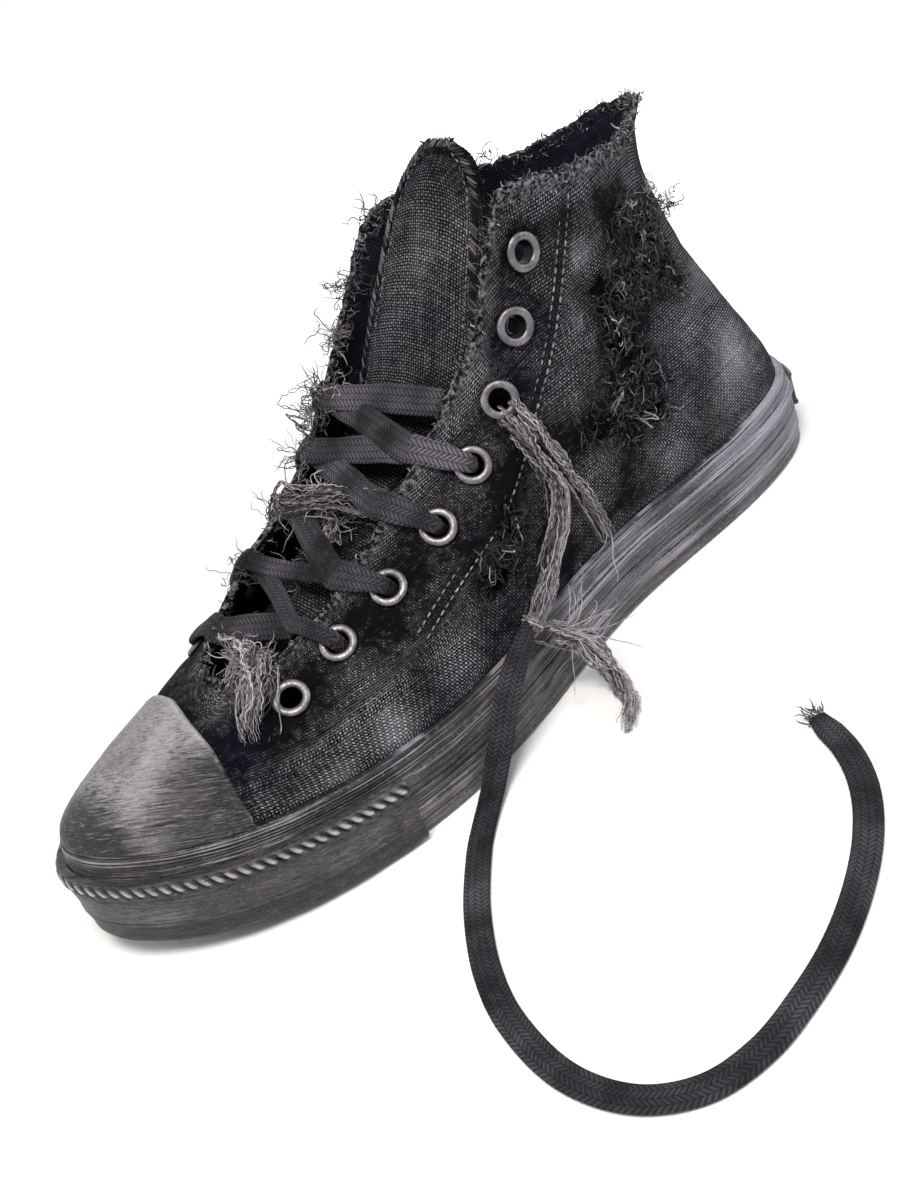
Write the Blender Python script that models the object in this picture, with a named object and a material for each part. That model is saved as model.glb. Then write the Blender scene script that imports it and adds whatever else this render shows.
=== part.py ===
"""Worn high-top canvas sneaker, left foot, standing empty on its sole.

Shoe frame while modelling, in millimetres: x runs forward from the back of the heel, y to the outer
(left) side from the heel's centre line, z up from the floor. Every point passes through to_metres(),
which also moves the origin to the middle of the footprint. +X is the toe and +Y the outer side.

The shoe is built in columns. A column is one place around the sole's outline, given as a fraction of
its length: 0 at the back of the heel, rising along the outer side, 0.5 at the toe. All rings (outsole,
foxing, upper, insole) share the same columns, so that their facets stay parallel.
"""
import math

import bmesh
import bpy
import numpy as np
from mathutils import Matrix, Vector
from mathutils.bvhtree import BVHTree

NAME = "worn_high_top_sneaker"
MM = 0.001
ORIGIN_X = 148.95
ORIGIN_Y = -2.0
GAP = 0.3
COLUMNS = 72

# Sole, mm
LENGTH = 291.0
SPRING_START = 200.0
TOE_SPRING = 7.0
OUTSOLE_EDGE = 4.6
FILLER_TOP = 10.0
FOXING_THICK = 3.5
HEEL_LEAN = 2.0
HEEL_LEAN_HEIGHT = 27.0
HEEL_LEAN_REACH = 70.0
TREAD_DEPTH = 1.8
TREAD_PITCH = 13.0
TREAD_GROOVE = 3.2
TREAD_MARGIN = 9.0

# Upper, mm
WALL = 1.8
FEATHER_Z = 10.4
WALL_ROWS = 2
SHELL_ROWS = 8
INSOLE_THICK = 3.6

# Outline of the sole seen from above: x forward, y outward
OUTLINE = (
    # x,     y
    (5.0, -1.5),
    (14.0, 19.0),
    (38.0, 29.5),
    (118.0, 33.1),
    (190.0, 46.5),
    (240.0, 41.2),
    (274.0, 24.2),
    (290.5, -3.5),
    (275.0, -25.0),
    (248.0, -41.5),
    (212.0, -50.0),
    (130.0, -38.6),
    (38.0, -33.5),
    (14.0, -22.5),
)

# The upper, a row per section: place around the outline, the point on the top edge, the handle that
# leaves it down the surface, and the handle that leaves the foxing (height and inward lean).
SECTIONS = (
    # around, top x,  top y,  top z, down x, down y, down z, lift, lean
    (0.000, 36.0, 0.0, 128.0, 19.0, 0.0, -30.0, 20.0, 6.0),
    (0.045, 44.5, 7.0, 125.5, 13.0, 0.0, -28.0, 22.0, 3.0),
    (0.095, 58.5, 14.0, 124.0, 6.5, 6.0, -28.0, 24.0, -1.0),
    (0.145, 76.0, 22.0, 127.5, 3.0, 7.0, -28.0, 26.0, -2.5),
    (0.185, 96.0, 28.0, 131.5, 4.0, 5.0, -30.0, 28.0, -3.0),
    (0.205, 107.0, 29.0, 134.5, 4.0, 4.0, -30.0, 28.0, -3.0),
    (0.220, 115.5, 28.6, 135.0, 2.0, 4.0, -28.0, 28.0, -2.5),
    (0.235, 120.0, 28.0, 131.0, 0.0, 4.0, -25.0, 27.0, -2.0),
    (0.260, 128.0, 26.5, 117.0, -1.0, 4.0, -24.0, 25.0, -1.5),
    (0.285, 134.5, 24.8, 104.0, 0.0, 5.0, -22.0, 22.0, -1.0),
    (0.310, 146.0, 22.3, 93.5, 1.0, 6.0, -20.0, 18.0, 0.0),
    (0.335, 160.0, 19.8, 81.5, 3.0, 7.0, -17.0, 15.0, 0.0),
    (0.357, 175.0, 17.8, 72.0, 4.0, 8.0, -14.0, 12.0, 0.0),
    (0.380, 193.0, 16.4, 61.5, 5.0, 8.0, -11.0, 10.0, 0.0),
    (0.405, 210.0, 14.6, 55.0, 7.0, 7.0, -8.0, 9.0, 0.0),
    (0.432, 222.0, 11.0, 50.0, 13.0, 6.0, -3.0, 10.0, 0.0),
    (0.462, 228.0, 6.5, 47.0, 24.0, 3.0, -1.5, 7.0, -0.5),
    (0.498, 230.0, 0.0, 45.5, 28.0, -1.0, -2.0, 4.5, 1.0),
    (0.535, 231.0, -8.0, 45.5, 20.0, -6.0, -3.0, 4.0, 3.0),
    (0.572, 229.0, -16.0, 46.5, 10.0, -8.0, -5.5, 4.5, 4.0),
    (0.602, 219.0, -19.5, 52.5, 5.0, -8.0, -9.0, 6.5, 3.0),
    (0.635, 202.0, -20.5, 62.5, 4.0, -7.0, -14.0, 12.0, 1.0),
    (0.665, 182.5, -21.5, 71.5, 3.0, -6.0, -16.0, 16.0, 0.0),
    (0.690, 166.0, -23.0, 82.0, 2.0, -6.0, -19.0, 19.0, 0.0),
    (0.715, 153.5, -25.0, 93.0, 1.0, -6.0, -21.0, 22.0, -0.5),
    (0.740, 142.0, -26.5, 104.0, 0.0, -5.0, -22.0, 25.0, -1.0),
    (0.765, 131.5, -27.8, 115.5, -1.0, -5.0, -24.0, 27.0, -1.5),
    (0.790, 122.0, -28.0, 125.0, -1.0, -5.0, -26.0, 28.0, -2.0),
    (0.807, 114.5, -28.5, 128.5, 1.0, -4.0, -28.0, 28.0, -2.5),
    (0.827, 104.0, -29.0, 127.5, 2.0, -5.0, -28.0, 28.0, -3.0),
    (0.862, 84.0, -28.5, 124.0, 2.0, -6.0, -28.0, 28.0, -2.0),
    (0.905, 62.0, -22.0, 122.5, 5.0, -6.0, -28.0, 26.0, 0.0),
    (0.955, 44.5, -10.0, 126.0, 13.0, 0.0, -28.0, 22.0, 3.0),
)

# Side of the foxing, a row per step from the bottom: share of its height, and how far it stands out
FOXING_STEPS = (
    # height, out
    (0.00, 0.0),
    (0.16, 0.0),
    (0.20, -0.7),
    (0.24, 0.0),
    (0.62, 0.0),
    (0.66, 0.9),
    (0.74, 0.9),
    (0.78, -0.3),
    (0.95, -0.9),
    (1.00, -1.8),
)

# Toe bumper: where it runs round the toe, and its steps between floor and rope
BUMPER_FROM = 0.355
BUMPER_TO = 0.648
BUMPER_STEPS = (
    # height, out
    (0.03, 2.4),
    (0.34, 2.9),
    (0.74, 2.9),
    (0.80, 3.5),
    (0.95, 3.5),
    (1.00, 2.6),
)
BUMPER_INNER = 0.35

# Rear edge of the toe cap in plan: x against y
CAP_EDGE = (
    # y,     x
    (-60.0, 250.0),
    (-44.0, 246.0),
    (-28.0, 241.5),
    (-16.0, 241.5),
    (0.0, 245.0),
    (18.0, 248.0),
    (30.0, 251.0),
    (60.0, 259.0),
)
CAP_FROM = 0.345
CAP_TO = 0.655
CAP_GAP = 0.4
CAP_THICK = 1.8

HEEL_PLATE_REACH = 0.031
HEEL_PLATE_LOW = 0.20
HEEL_PLATE_HIGH = 0.80
HEEL_PLATE_THICK = 1.5

# Lace holes from the collar down to the vamp: x and z on each side
LATERAL_HOLES = (
    (116.0, 118.1), (126.0, 101.9), (137.8, 86.4), (152.5, 74.7),
    (168.8, 65.0), (188.0, 57.5), (206.5, 51.1), (225.0, 46.4),
)
MEDIAL_HOLES = (
    (113.0, 112.5), (124.0, 98.5), (137.0, 86.5), (151.0, 76.0),
    (167.0, 66.5), (185.0, 59.0), (203.5, 51.0), (222.0, 43.5),
)
EYELET_OUTER = 5.4
EYELET_BORE = 2.9
EYELET_BARREL = 3.5
EYELET_HEIGHT = 1.7
HOLE_RADIUS = 4.0
EYELET_SIDES = 10

# Torn holes of the outer side: middle x and z, half length, half height, turn in degrees
TEARS = (
    # x,     z,    long, high, turn
    (85.5, 53.0, 3.4, 3.0, 15.0),
    (92.5, 94.5, 3.2, 5.0, -28.0),
    (108.0, 59.5, 5.2, 3.6, 20.0),
    (93.0, 76.0, 2.6, 5.0, -20.0),
    (163.0, 47.0, 6.2, 3.2, -25.0),
    (56.0, 91.0, 2.8, 6.0, -20.0),
)

# Tongue: middle line x and z, its two edges in y, how much further forward the inner edge lies,
# and the rise of its crown
TONGUE_THICK = 2.0
TONGUE = (
    # x,     z,    y out, y in, skew, crown
    (238.0, 41.0, 8.0, -14.0, 0.0, 0.6),
    (222.0, 43.5, 11.0, -16.5, 1.0, 2.0),
    (201.0, 51.5, 17.0, -22.0, 2.0, 5.0),
    (182.0, 61.0, 19.0, -24.0, 3.5, 5.5),
    (164.0, 72.0, 20.0, -24.5, 5.5, 5.5),
    (149.5, 84.5, 20.0, -24.5, 8.0, 5.5),
    (138.0, 98.5, 18.0, -23.0, 10.0, 4.5),
    (127.5, 114.0, 16.5, -21.0, 9.0, 3.5),
    (117.5, 129.5, 15.5, -18.5, 7.0, 3.0),
    (112.5, 138.0, 13.5, -14.0, 4.5, 2.2),
    (109.8, 142.8, 10.0, -8.5, 2.0, 1.2),
    (108.4, 145.2, 5.0, -3.0, 0.5, 0.4),
)
TONGUE_ACROSS = 8

# Lace: a flat braid. Each strand leaves a hole, comes over the throat's edge at x and runs down to
# the strand before it, so that the strands make one zigzag up the throat.
LACE_WIDTH = 8.4
LACE_END_WIDTH = 5.2
LACE_THICK = 1.7
LACE_OVER_EYELET = 3.2
LACE_OVER_EDGE = 2.3
LACE_TUCK = 2.6
LACE_FIRST_END = 149.0
STRANDS = (
    # side, hole, x at the edge
    (-1, 4, 157.0),
    (1, 4, 155.0),
    (-1, 5, 169.5),
    (1, 5, 171.5),
    (-1, 6, 184.0),
    (1, 6, 190.5),
    (-1, 7, 202.0),
    (1, 7, 208.0),
    (-1, 8, 220.0),
)

# Loose cords: the points each one runs through, and its radius
LOOSE_LACE_RADIUS = 2.2
FRAY_RADIUS = 1.5
LOOSE_CORDS = (
    ("lace_loose_end", LOOSE_LACE_RADIUS, (
        (158.9, 41.8, 30.0), (165.0, 44.4, 29.3), (173.5, 47.6, 26.0), (181.0, 49.4, 20.0),
        (187.3, 50.3, 11.6),
        (195.0, 52.0, 4.6), (207.8, 60.0, 2.4), (217.5, 68.6, 2.4), (228.0, 80.0, 2.4),
        (238.0, 94.5, 2.4), (244.5, 110.0, 2.4), (247.0, 129.0, 2.4), (242.5, 145.0, 2.4),
        (232.0, 155.5, 2.4), (218.0, 159.5, 2.4), (203.0, 159.0, 2.4), (188.0, 156.5, 2.4),
        (173.0, 151.5, 2.4), (159.0, 144.5, 2.4), (147.0, 135.5, 2.4), (138.0, 124.5, 2.4),
        (131.5, 110.5, 2.4),
    )),
    ("lace_fray_to_knot", FRAY_RADIUS, (
        (141.4, 34.8, 84.6), (138.6, 36.4, 76.8), (135.9, 36.4, 69.8), (133.7, 36.1, 63.0),
        (132.8, 35.8, 57.0), (134.6, 35.8, 51.0), (138.8, 36.3, 44.0), (145.4, 37.4, 37.2),
        (152.4, 39.2, 32.3), (158.2, 41.2, 30.2),
    )),
    ("lace_fray_short", FRAY_RADIUS, (
        (137.9, 36.2, 86.0), (134.8, 36.9, 78.8), (131.7, 36.0, 71.0), (129.2, 35.6, 64.0),
        (126.6, 35.0, 57.0), (123.4, 34.2, 48.5), (120.2, 33.2, 38.7), (118.4, 32.6, 31.8),
    )),
    ("lace_fray_side", FRAY_RADIUS, (
        (158.4, 43.2, 27.4), (153.6, 44.6, 22.6), (149.0, 46.2, 17.8), (146.4, 48.8, 10.6),
        (146.0, 52.8, 4.4), (147.6, 57.0, 1.9), (151.6, 61.6, 1.8), (157.0, 65.6, 1.8),
    )),
    ("lace_fray_toe", FRAY_RADIUS, (
        (220.8, -12.0, 48.6), (221.8, -5.5, 50.2), (223.0, 1.0, 51.2), (224.6, 7.5, 51.9),
        (226.6, 13.0, 51.8), (229.8, 17.0, 50.7), (233.6, 20.6, 48.8), (236.8, 24.6, 46.2),
    )),
)

MATERIALS = {
    # slot: (colour sRGB hex, roughness, metallic)
    "canvas": ("2B2A2F", 0.95, 0.0),
    "lining": ("232233", 0.95, 0.0),
    "sole_rubber": ("3A393D", 0.62, 0.0),
    "side_rubber": ("4A494D", 0.60, 0.0),
    "cap_rubber": ("4E4B49", 0.55, 0.0),
    "eyelet_metal": ("6E6C70", 0.35, 0.9),
    "lace_cord": ("3A393D", 0.9, 0.0),
}


def to_metres(x, y, z):
    """A point of the shoe frame in millimetres as the world point in metres."""
    return Vector(((x - ORIGIN_X) * MM, (y - ORIGIN_Y) * MM, z * MM))


def periodic_spline(knots, values):
    """Smooth closed curve through values at knots; knots holds one more entry, a turn later."""
    knots = np.asarray(knots, float)
    values = np.asarray(values, float)
    count = len(values)
    step = np.diff(knots)
    slope = (np.roll(values, -1, axis=0) - values) / step[:, None]
    matrix = np.zeros((count, count))
    right = np.zeros_like(values)
    for i in range(count):
        before = step[i - 1]
        after = step[i]
        matrix[i, i - 1] += after
        matrix[i, i] += 2 * (before + after)
        matrix[i, (i + 1) % count] += before
        right[i] = 3 * (after * slope[i - 1] + before * slope[i])
    tangent = np.linalg.solve(matrix, right)

    def at(place):
        place = np.atleast_1d(np.asarray(place, float))
        place = knots[0] + (place - knots[0]) % (knots[-1] - knots[0])
        i = np.clip(np.searchsorted(knots, place, side="right") - 1, 0, count - 1)
        j = (i + 1) % count
        h = step[i][:, None]
        t = ((place - knots[i]) / step[i])[:, None]
        return (
            (2 * t**3 - 3 * t**2 + 1) * values[i]
            + (t**3 - 2 * t**2 + t) * h * tangent[i]
            + (3 * t**2 - 2 * t**3) * values[j]
            + (t**3 - t**2) * h * tangent[j]
        )

    return at


def even_outline(samples=4000):
    """The sole's outline as a function of the fraction of its length."""
    points = np.array(OUTLINE)
    closed = np.vstack([points, points[:1]])
    knots = np.r_[0.0, np.cumsum(np.linalg.norm(np.diff(closed, axis=0), axis=1))]
    curve = periodic_spline(knots, points)
    fine = curve(np.linspace(0, knots[-1], samples + 1)[:-1])
    fine = np.vstack([fine, fine[:1]])
    run = np.r_[0.0, np.cumsum(np.linalg.norm(np.diff(fine, axis=0), axis=1))]
    run /= run[-1]

    def at(around):
        around = np.atleast_1d(around) % 1.0
        return np.stack([np.interp(around, run, fine[:, k]) for k in (0, 1)], axis=1)

    return at


OUTLINE_AT = even_outline()
SECTION_ROWS = np.array(SECTIONS)
SECTION_AT = periodic_spline(np.r_[SECTION_ROWS[:, 0], 1.0], SECTION_ROWS[:, 1:])


def outward(around):
    """Unit vector in plan that points out of the sole at each place around it."""
    small = 0.002
    along = OUTLINE_AT(np.atleast_1d(around) + small) - OUTLINE_AT(np.atleast_1d(around) - small)
    along /= np.linalg.norm(along, axis=1)[:, None]
    return np.stack([-along[:, 1], along[:, 0]], axis=1)


def ground(x):
    """Height of the sole's underside: flat from the heel to the ball, then the toe spring."""
    past = np.clip((np.asarray(x) - SPRING_START) / (LENGTH - SPRING_START), 0, None)
    return TOE_SPRING * past**2


def foxing_top(x):
    """Height of the top of the foxing above the floor."""
    share = np.asarray(x) / LENGTH
    return 26.9 - 9.0 * share + 11.6 * share**2 + ground(x)


def ridge(x):
    """Height of the rope line that runs round the foxing and tops the bumper."""
    return 19.5 + 3.0 * np.asarray(x) / LENGTH + ground(x)


def heel_shift(x, z):
    """How far the heel's wall leans forward at height z, fading out toward the arch."""
    fade = np.clip(1 - np.asarray(x) / HEEL_LEAN_REACH, 0, 1.1)
    return HEEL_LEAN * np.clip(z, 0, HEEL_LEAN_HEIGHT) / HEEL_LEAN_HEIGHT * fade**2


def ring(around, out, height):
    """Points round the outline, moved out in plan, at a height that is a function of x."""
    around = np.atleast_1d(around)
    plan = OUTLINE_AT(around) + outward(around) * np.reshape(out, (-1, 1))
    z = height(plan[:, 0])
    plan[:, 0] += heel_shift(plan[:, 0], z)
    return np.column_stack([plan, z])


def all_columns():
    return np.arange(COLUMNS) / COLUMNS


def canvas_inset():
    """The upper's outer face stands this far inside the outline where the foxing hugs it."""
    return FOXING_THICK + GAP


def wall_height(share):
    """Height of the upper where the foxing hugs it, from its feather line to just above the rubber."""
    return lambda x: (1 - share) * (FEATHER_Z + ground(x)) + share * (foxing_top(x) + 2 * GAP)


def upper_grid(around):
    """Outer face of the upper: array rows x columns x 3, from the feather line to the top edge."""
    section = SECTION_AT(around)
    rows = [ring(around, -canvas_inset(), wall_height(i / WALL_ROWS)) for i in range(WALL_ROWS)]
    foot = ring(around, -canvas_inset(), wall_height(1.0))
    top = section[:, 0:3]
    down = section[:, 3:6]
    lift, lean = section[:, 6], section[:, 7]
    low_handle = foot.copy()
    low_handle[:, :2] -= outward(around) * lean[:, None]
    low_handle[:, 2] += lift
    high_handle = top + down
    for i in range(SHELL_ROWS + 1):
        t = i / SHELL_ROWS
        rows.append(
            (1 - t) ** 3 * foot
            + 3 * t * (1 - t) ** 2 * low_handle
            + 3 * t**2 * (1 - t) * high_handle
            + t**3 * top
        )
    return np.array(rows)


def grid_normals(grid, around):
    """Outward unit normals of the upper's grid; level in plan where the foxing hugs it."""
    closed = np.concatenate([grid[:, -1:], grid, grid[:, :1]], axis=1)
    along = closed[:, 2:] - closed[:, :-2]
    rise = np.gradient(grid, axis=0)
    normal = np.cross(rise, along)
    normal /= np.linalg.norm(normal, axis=2)[:, :, None]
    level = np.column_stack([outward(around), np.zeros(len(around))])
    turn = np.sign(np.sum(normal[WALL_ROWS + 1] * level, axis=1).mean())
    normal *= turn
    normal[: WALL_ROWS + 1] = level
    return normal


def make_material(slot):
    hex_code, roughness, metallic = MATERIALS[slot]
    material = bpy.data.materials.new(slot)
    material.use_nodes = True
    shader = material.node_tree.nodes["Principled BSDF"]
    srgb = [int(hex_code[i:i + 2], 16) / 255 for i in (0, 2, 4)]
    linear = [c / 12.92 if c <= 0.04045 else ((c + 0.055) / 1.055) ** 2.4 for c in srgb]
    shader.inputs["Base Color"].default_value = (*linear, 1.0)
    shader.inputs["Roughness"].default_value = roughness
    shader.inputs["Metallic"].default_value = metallic
    return material


def new_object(name, points, faces, slot, collection, smooth=True):
    """A mesh object from points in the shoe frame, its faces turned to point out."""
    mesh = bpy.data.meshes.new(name)
    mesh.from_pydata([to_metres(*p) for p in points], [], faces)
    work = bmesh.new()
    work.from_mesh(mesh)
    bmesh.ops.recalc_face_normals(work, faces=work.faces)
    work.to_mesh(mesh)
    work.free()
    if slot:
        mesh.materials.append(MADE[slot])
    if smooth:
        mesh.shade_smooth()
        mesh.set_sharp_from_angle(angle=math.radians(35))
    item = bpy.data.objects.new(name, mesh)
    collection.objects.link(item)
    return item


def grid_faces(rows, columns, start, wrap, flip=False):
    """Quads of a grid of rows x columns points whose first point is number start."""
    faces = []
    for i in range(rows - 1):
        for j in range(columns if wrap else columns - 1):
            k = (j + 1) % columns
            quad = [start + i * columns + j, start + i * columns + k,
                    start + (i + 1) * columns + k, start + (i + 1) * columns + j]
            faces.append(quad[::-1] if flip else quad)
    return faces


def closed_ring(name, loops, slot, collection):
    """A ring-shaped solid: each loop of points is one line round the shoe, in order round its section."""
    loops = np.array(loops)
    count, columns = loops.shape[:2]
    points = loops.reshape(-1, 3)
    faces = grid_faces(count, columns, 0, True)
    last = (count - 1) * columns
    for j in range(columns):
        k = (j + 1) % columns
        faces.append([last + j, last + k, k, j])
    return new_object(name, points, faces, slot, collection)


def closed_band(name, loops, slot, collection):
    """A solid strip: loops in order round its section, with both ends filled."""
    loops = np.array(loops)
    count, columns = loops.shape[:2]
    points = loops.reshape(-1, 3)
    faces = []
    for i in range(count):
        for j in range(columns - 1):
            a, b = i * columns + j, ((i + 1) % count) * columns + j
            faces.append([a, a + 1, b + 1, b])
    faces.append([i * columns for i in range(count)])
    faces.append([i * columns + columns - 1 for i in range(count)][::-1])
    return new_object(name, points, faces, slot, collection)


def closed_slab(name, loops, slot, collection):
    """A solid whose first and last loops are filled, as a stepped disc."""
    loops = np.array(loops)
    count, columns = loops.shape[:2]
    points = loops.reshape(-1, 3)
    faces = grid_faces(count, columns, 0, True)
    faces.append(list(range(columns))[::-1])
    last = (count - 1) * columns
    faces.append(list(range(last, last + columns)))
    return new_object(name, points, faces, slot, collection)


def cut(item, cutter, name):
    step = item.modifiers.new(name, "BOOLEAN")
    step.operation = "DIFFERENCE"
    step.solver = "EXACT"
    step.object = cutter


def make_cutter(name, points, faces, cutters):
    cutter = new_object(name, points, faces, None, cutters, smooth=False)
    cutter.hide_render = True
    cutter.display_type = "WIRE"
    return cutter


def join_meshes(parts):
    """Points and faces of several small closed shapes as one list each."""
    points, faces = [], []
    for some_points, some_faces in parts:
        start = len(points)
        points.extend(some_points)
        faces.extend([[start + k for k in face] for face in some_faces])
    return points, faces


def prism(base, shift):
    """A closed prism: the base polygon and its copy moved by shift."""
    count = len(base)
    points = [tuple(p) for p in base] + [tuple(np.add(p, shift)) for p in base]
    faces = [list(range(count))[::-1], list(range(count, 2 * count))]
    for j in range(count):
        k = (j + 1) % count
        faces.append([j, k, count + k, count + j])
    return points, faces


def build_outsole(collection, cutters):
    """Rubber bottom: a flange of the full outline, and the filler that fills the foxing's ring."""
    around = all_columns()
    flange = -0.4
    filler = -(FOXING_THICK + 2 * GAP)
    loops = [
        ring(around, flange - 1.0, ground),
        ring(around, flange, lambda x: ground(x) + 0.8),
        ring(around, flange, lambda x: ground(x) + OUTSOLE_EDGE),
        ring(around, filler, lambda x: ground(x) + OUTSOLE_EDGE),
        ring(around, filler, lambda x: ground(x) + FILLER_TOP),
    ]
    points = [tuple(p) for loop in loops for p in loop]
    faces = grid_faces(len(loops), COLUMNS, 0, True)
    faces += rib_faces(0, COLUMNS, bottom=True)
    faces += rib_faces((len(loops) - 1) * COLUMNS, COLUMNS, bottom=False)
    sole = new_object("outsole", points, faces, "sole_rubber", collection)
    grooves = []
    x = TREAD_PITCH
    while x < LENGTH - 1.5 * TREAD_PITCH:
        grooves.append(tread_groove(x))
        x += TREAD_PITCH
    cut(sole, make_cutter("cutter_tread", *join_meshes(grooves), cutters), "tread")
    return sole


def rib_faces(start, columns, bottom):
    """Fills a loop with strips across the foot, so that a curved sole has no crooked polygon."""
    faces = []
    half = columns // 2
    for j in range(half):
        left, left_next = start + j, start + j + 1
        right, right_next = start + (columns - j) % columns, start + columns - j - 1
        face = [left, left_next, right_next, right]
        face = list(dict.fromkeys(face))
        if len(face) > 2:
            faces.append(face if bottom else face[::-1])
    return faces


def half_widths(x):
    """The sole's outer and inner edge in y at station x."""
    around = np.linspace(0, 1, 721)[:-1]
    plan = OUTLINE_AT(around)
    outer = plan[:len(plan) // 2]
    inner = plan[len(plan) // 2:][::-1]
    return np.interp(x, outer[:, 0], outer[:, 1]), np.interp(x, inner[:, 0], inner[:, 1])


def tread_groove(x):
    """A box across the underside between the tread's border strips, for one gap between bars."""
    outer, inner = half_widths(x)
    low = min(outer, inner) + TREAD_MARGIN
    high = max(outer, inner) - TREAD_MARGIN
    top = float(ground(x)) + TREAD_DEPTH
    base = [
        (x - TREAD_GROOVE / 2, low, -5.0),
        (x + TREAD_GROOVE / 2, low, -5.0),
        (x + TREAD_GROOVE / 2, high, -5.0),
        (x - TREAD_GROOVE / 2, high, -5.0),
    ]
    return prism(base, (0, 0, top + 5.0))


def foxing_height(share):
    """Height of one step of the foxing, as a function of x."""
    low = OUTSOLE_EDGE + GAP
    return lambda x: ground(x) + low + share * (foxing_top(x) - ground(x) - low)


def bare_run(around):
    """1 where the foxing's steps stand out, 0 behind the bumper and the heel plate."""
    turn = (around + 0.5) % 1.0 - 0.5
    covered = (around > BUMPER_FROM - 1 / COLUMNS) & (around < BUMPER_TO + 1 / COLUMNS)
    covered |= np.abs(turn) < HEEL_PLATE_REACH + 1 / COLUMNS
    return np.where(covered, 0.0, 1.0)


def build_foxing(collection):
    """Rubber band round the shoe, between the outsole's flange and the canvas above it."""
    around = all_columns()
    bare = bare_run(around)
    loops = []
    for share, out in FOXING_STEPS:
        loops.append(ring(around, out * bare if out > 0 else out, foxing_height(share)))
    inner = -FOXING_THICK
    loops.append(ring(around, inner, foxing_height(1.0)))
    loops.append(ring(around, inner, foxing_height(0.0)))
    return closed_ring("foxing", loops, "side_rubber", collection)


def columns_between(first, last):
    """The shared columns from first to last, both ends included as they are."""
    inside = [c for c in all_columns() if first + 0.004 < c < last - 0.004]
    return np.array([first, *inside, last])


def bumper_height(share):
    return lambda x: ground(x) + 0.5 + share * (ridge(x) - ground(x) - 0.5)


def build_bumper(collection):
    """Second rubber band round the toe, from butt end to butt end."""
    around = columns_between(BUMPER_FROM, BUMPER_TO)
    loops = [ring(around, out, bumper_height(share)) for share, out in BUMPER_STEPS]
    loops.append(ring(around, BUMPER_INNER, bumper_height(BUMPER_STEPS[-1][0])))
    loops.append(ring(around, BUMPER_INNER, bumper_height(BUMPER_STEPS[0][0])))
    return closed_band("toe_bumper", loops, "side_rubber", collection)


def build_upper(collection, cutters):
    """The canvas shell: outer face, inner face, feather edge below and raw edge above."""
    around = all_columns()
    outer = upper_grid(around)
    inner = outer - grid_normals(outer, around) * WALL
    loops = list(outer) + list(inner[::-1])
    shell = closed_ring("upper", loops, "canvas", collection)
    holes = []
    for side in (1, -1):
        for x, z in (LATERAL_HOLES if side > 0 else MEDIAL_HOLES):
            holes.append(hole_cutter(*surface_at(OUTER_TREE, x, z, side)))
    cut(shell, make_cutter("cutter_lace_holes", *join_meshes(holes), cutters), "lace_holes")
    tears = [tear_cutter(*row) for row in TEARS]
    cut(shell, make_cutter("cutter_tears", *join_meshes(tears), cutters), "tears")
    return shell


def surface_tree(grid):
    """Search tree of one face of the upper."""
    rows, columns = grid.shape[:2]
    return BVHTree.FromPolygons(
        [Vector(p) for p in grid.reshape(-1, 3)], grid_faces(rows, columns, 0, True)
    )


def surface_at(tree, x, z, side):
    """Where a level line across the shoe meets the upper on one side, and the normal there."""
    far = 90.0
    point, normal, _, _ = tree.ray_cast(Vector((x, side * far, z)), Vector((0, -side, 0)))
    if normal.y * side < 0:
        normal = -normal
    return point, normal


def basis(normal, up=Vector((0, 0, 1))):
    """Rotation whose z axis is the normal, and whose x axis is level."""
    level = up.cross(normal).normalized()
    return Matrix((level, normal.cross(level), normal)).transposed()


def hole_cutter(point, normal):
    """Round cutter through the wall at one lace hole."""
    turn = basis(normal)
    base = []
    for k in range(EYELET_SIDES):
        angle = 2 * math.pi * k / EYELET_SIDES
        rim = Vector((math.cos(angle), math.sin(angle), 0)) * HOLE_RADIUS
        base.append(point + turn @ (rim - Vector((0, 0, 5.0))))
    return prism(base, turn @ Vector((0, 0, 9.0)))


def tear_cutter(x, z, long_half, high_half, turn):
    """Ragged cutter through the outer side's wall."""
    ragged = (1.0, 0.72, 1.08, 0.8, 1.0, 0.66, 1.05, 0.78, 0.95)
    turn = math.radians(turn)
    base = []
    for k, reach in enumerate(ragged):
        angle = 2 * math.pi * k / len(ragged)
        along = long_half * reach * math.cos(angle)
        rise = high_half * reach * math.sin(angle)
        base.append((
            x + along * math.cos(turn) - rise * math.sin(turn),
            12.0,
            z + along * math.sin(turn) + rise * math.cos(turn),
        ))
    return prism(base, (0, 40.0, 0))


def build_toe_cap(collection, cutters):
    """Rubber cap over the toe: a band of the upper's own surface, one step proud, trimmed to its edge."""
    around = columns_between(CAP_FROM, CAP_TO)
    grid = upper_grid(around)
    normal = grid_normals_open(grid, around)
    loops = []
    for out in (CAP_GAP, CAP_GAP + CAP_THICK):
        rows = (grid + normal * out)[WALL_ROWS:-1]
        rows[0] = ring(around, out - canvas_inset(), lambda x: foxing_top(x) + GAP)
        loops.append(list(rows))
    cap = closed_band("toe_cap", loops[1] + loops[0][::-1], "cap_rubber", collection)
    behind = [(x, y, -10.0) for y, x in CAP_EDGE]
    behind += [(150.0, CAP_EDGE[-1][0], -10.0), (150.0, CAP_EDGE[0][0], -10.0)]
    cut(cap, make_cutter("cutter_cap_edge", *prism(behind, (0, 0, 120.0)), cutters), "rear_edge")
    return cap


def grid_normals_open(grid, around):
    """Normals of an open stretch of columns, from the full grid's neighbours."""
    small = 0.004
    before, after = upper_grid(around - small), upper_grid(around + small)
    normal = np.cross(np.gradient(grid, axis=0), after - before)
    normal /= np.linalg.norm(normal, axis=2)[:, :, None]
    level = np.column_stack([outward(around), np.zeros(len(around))])
    normal *= np.sign(np.sum(normal[WALL_ROWS + 1] * level, axis=1).mean())
    return normal


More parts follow.
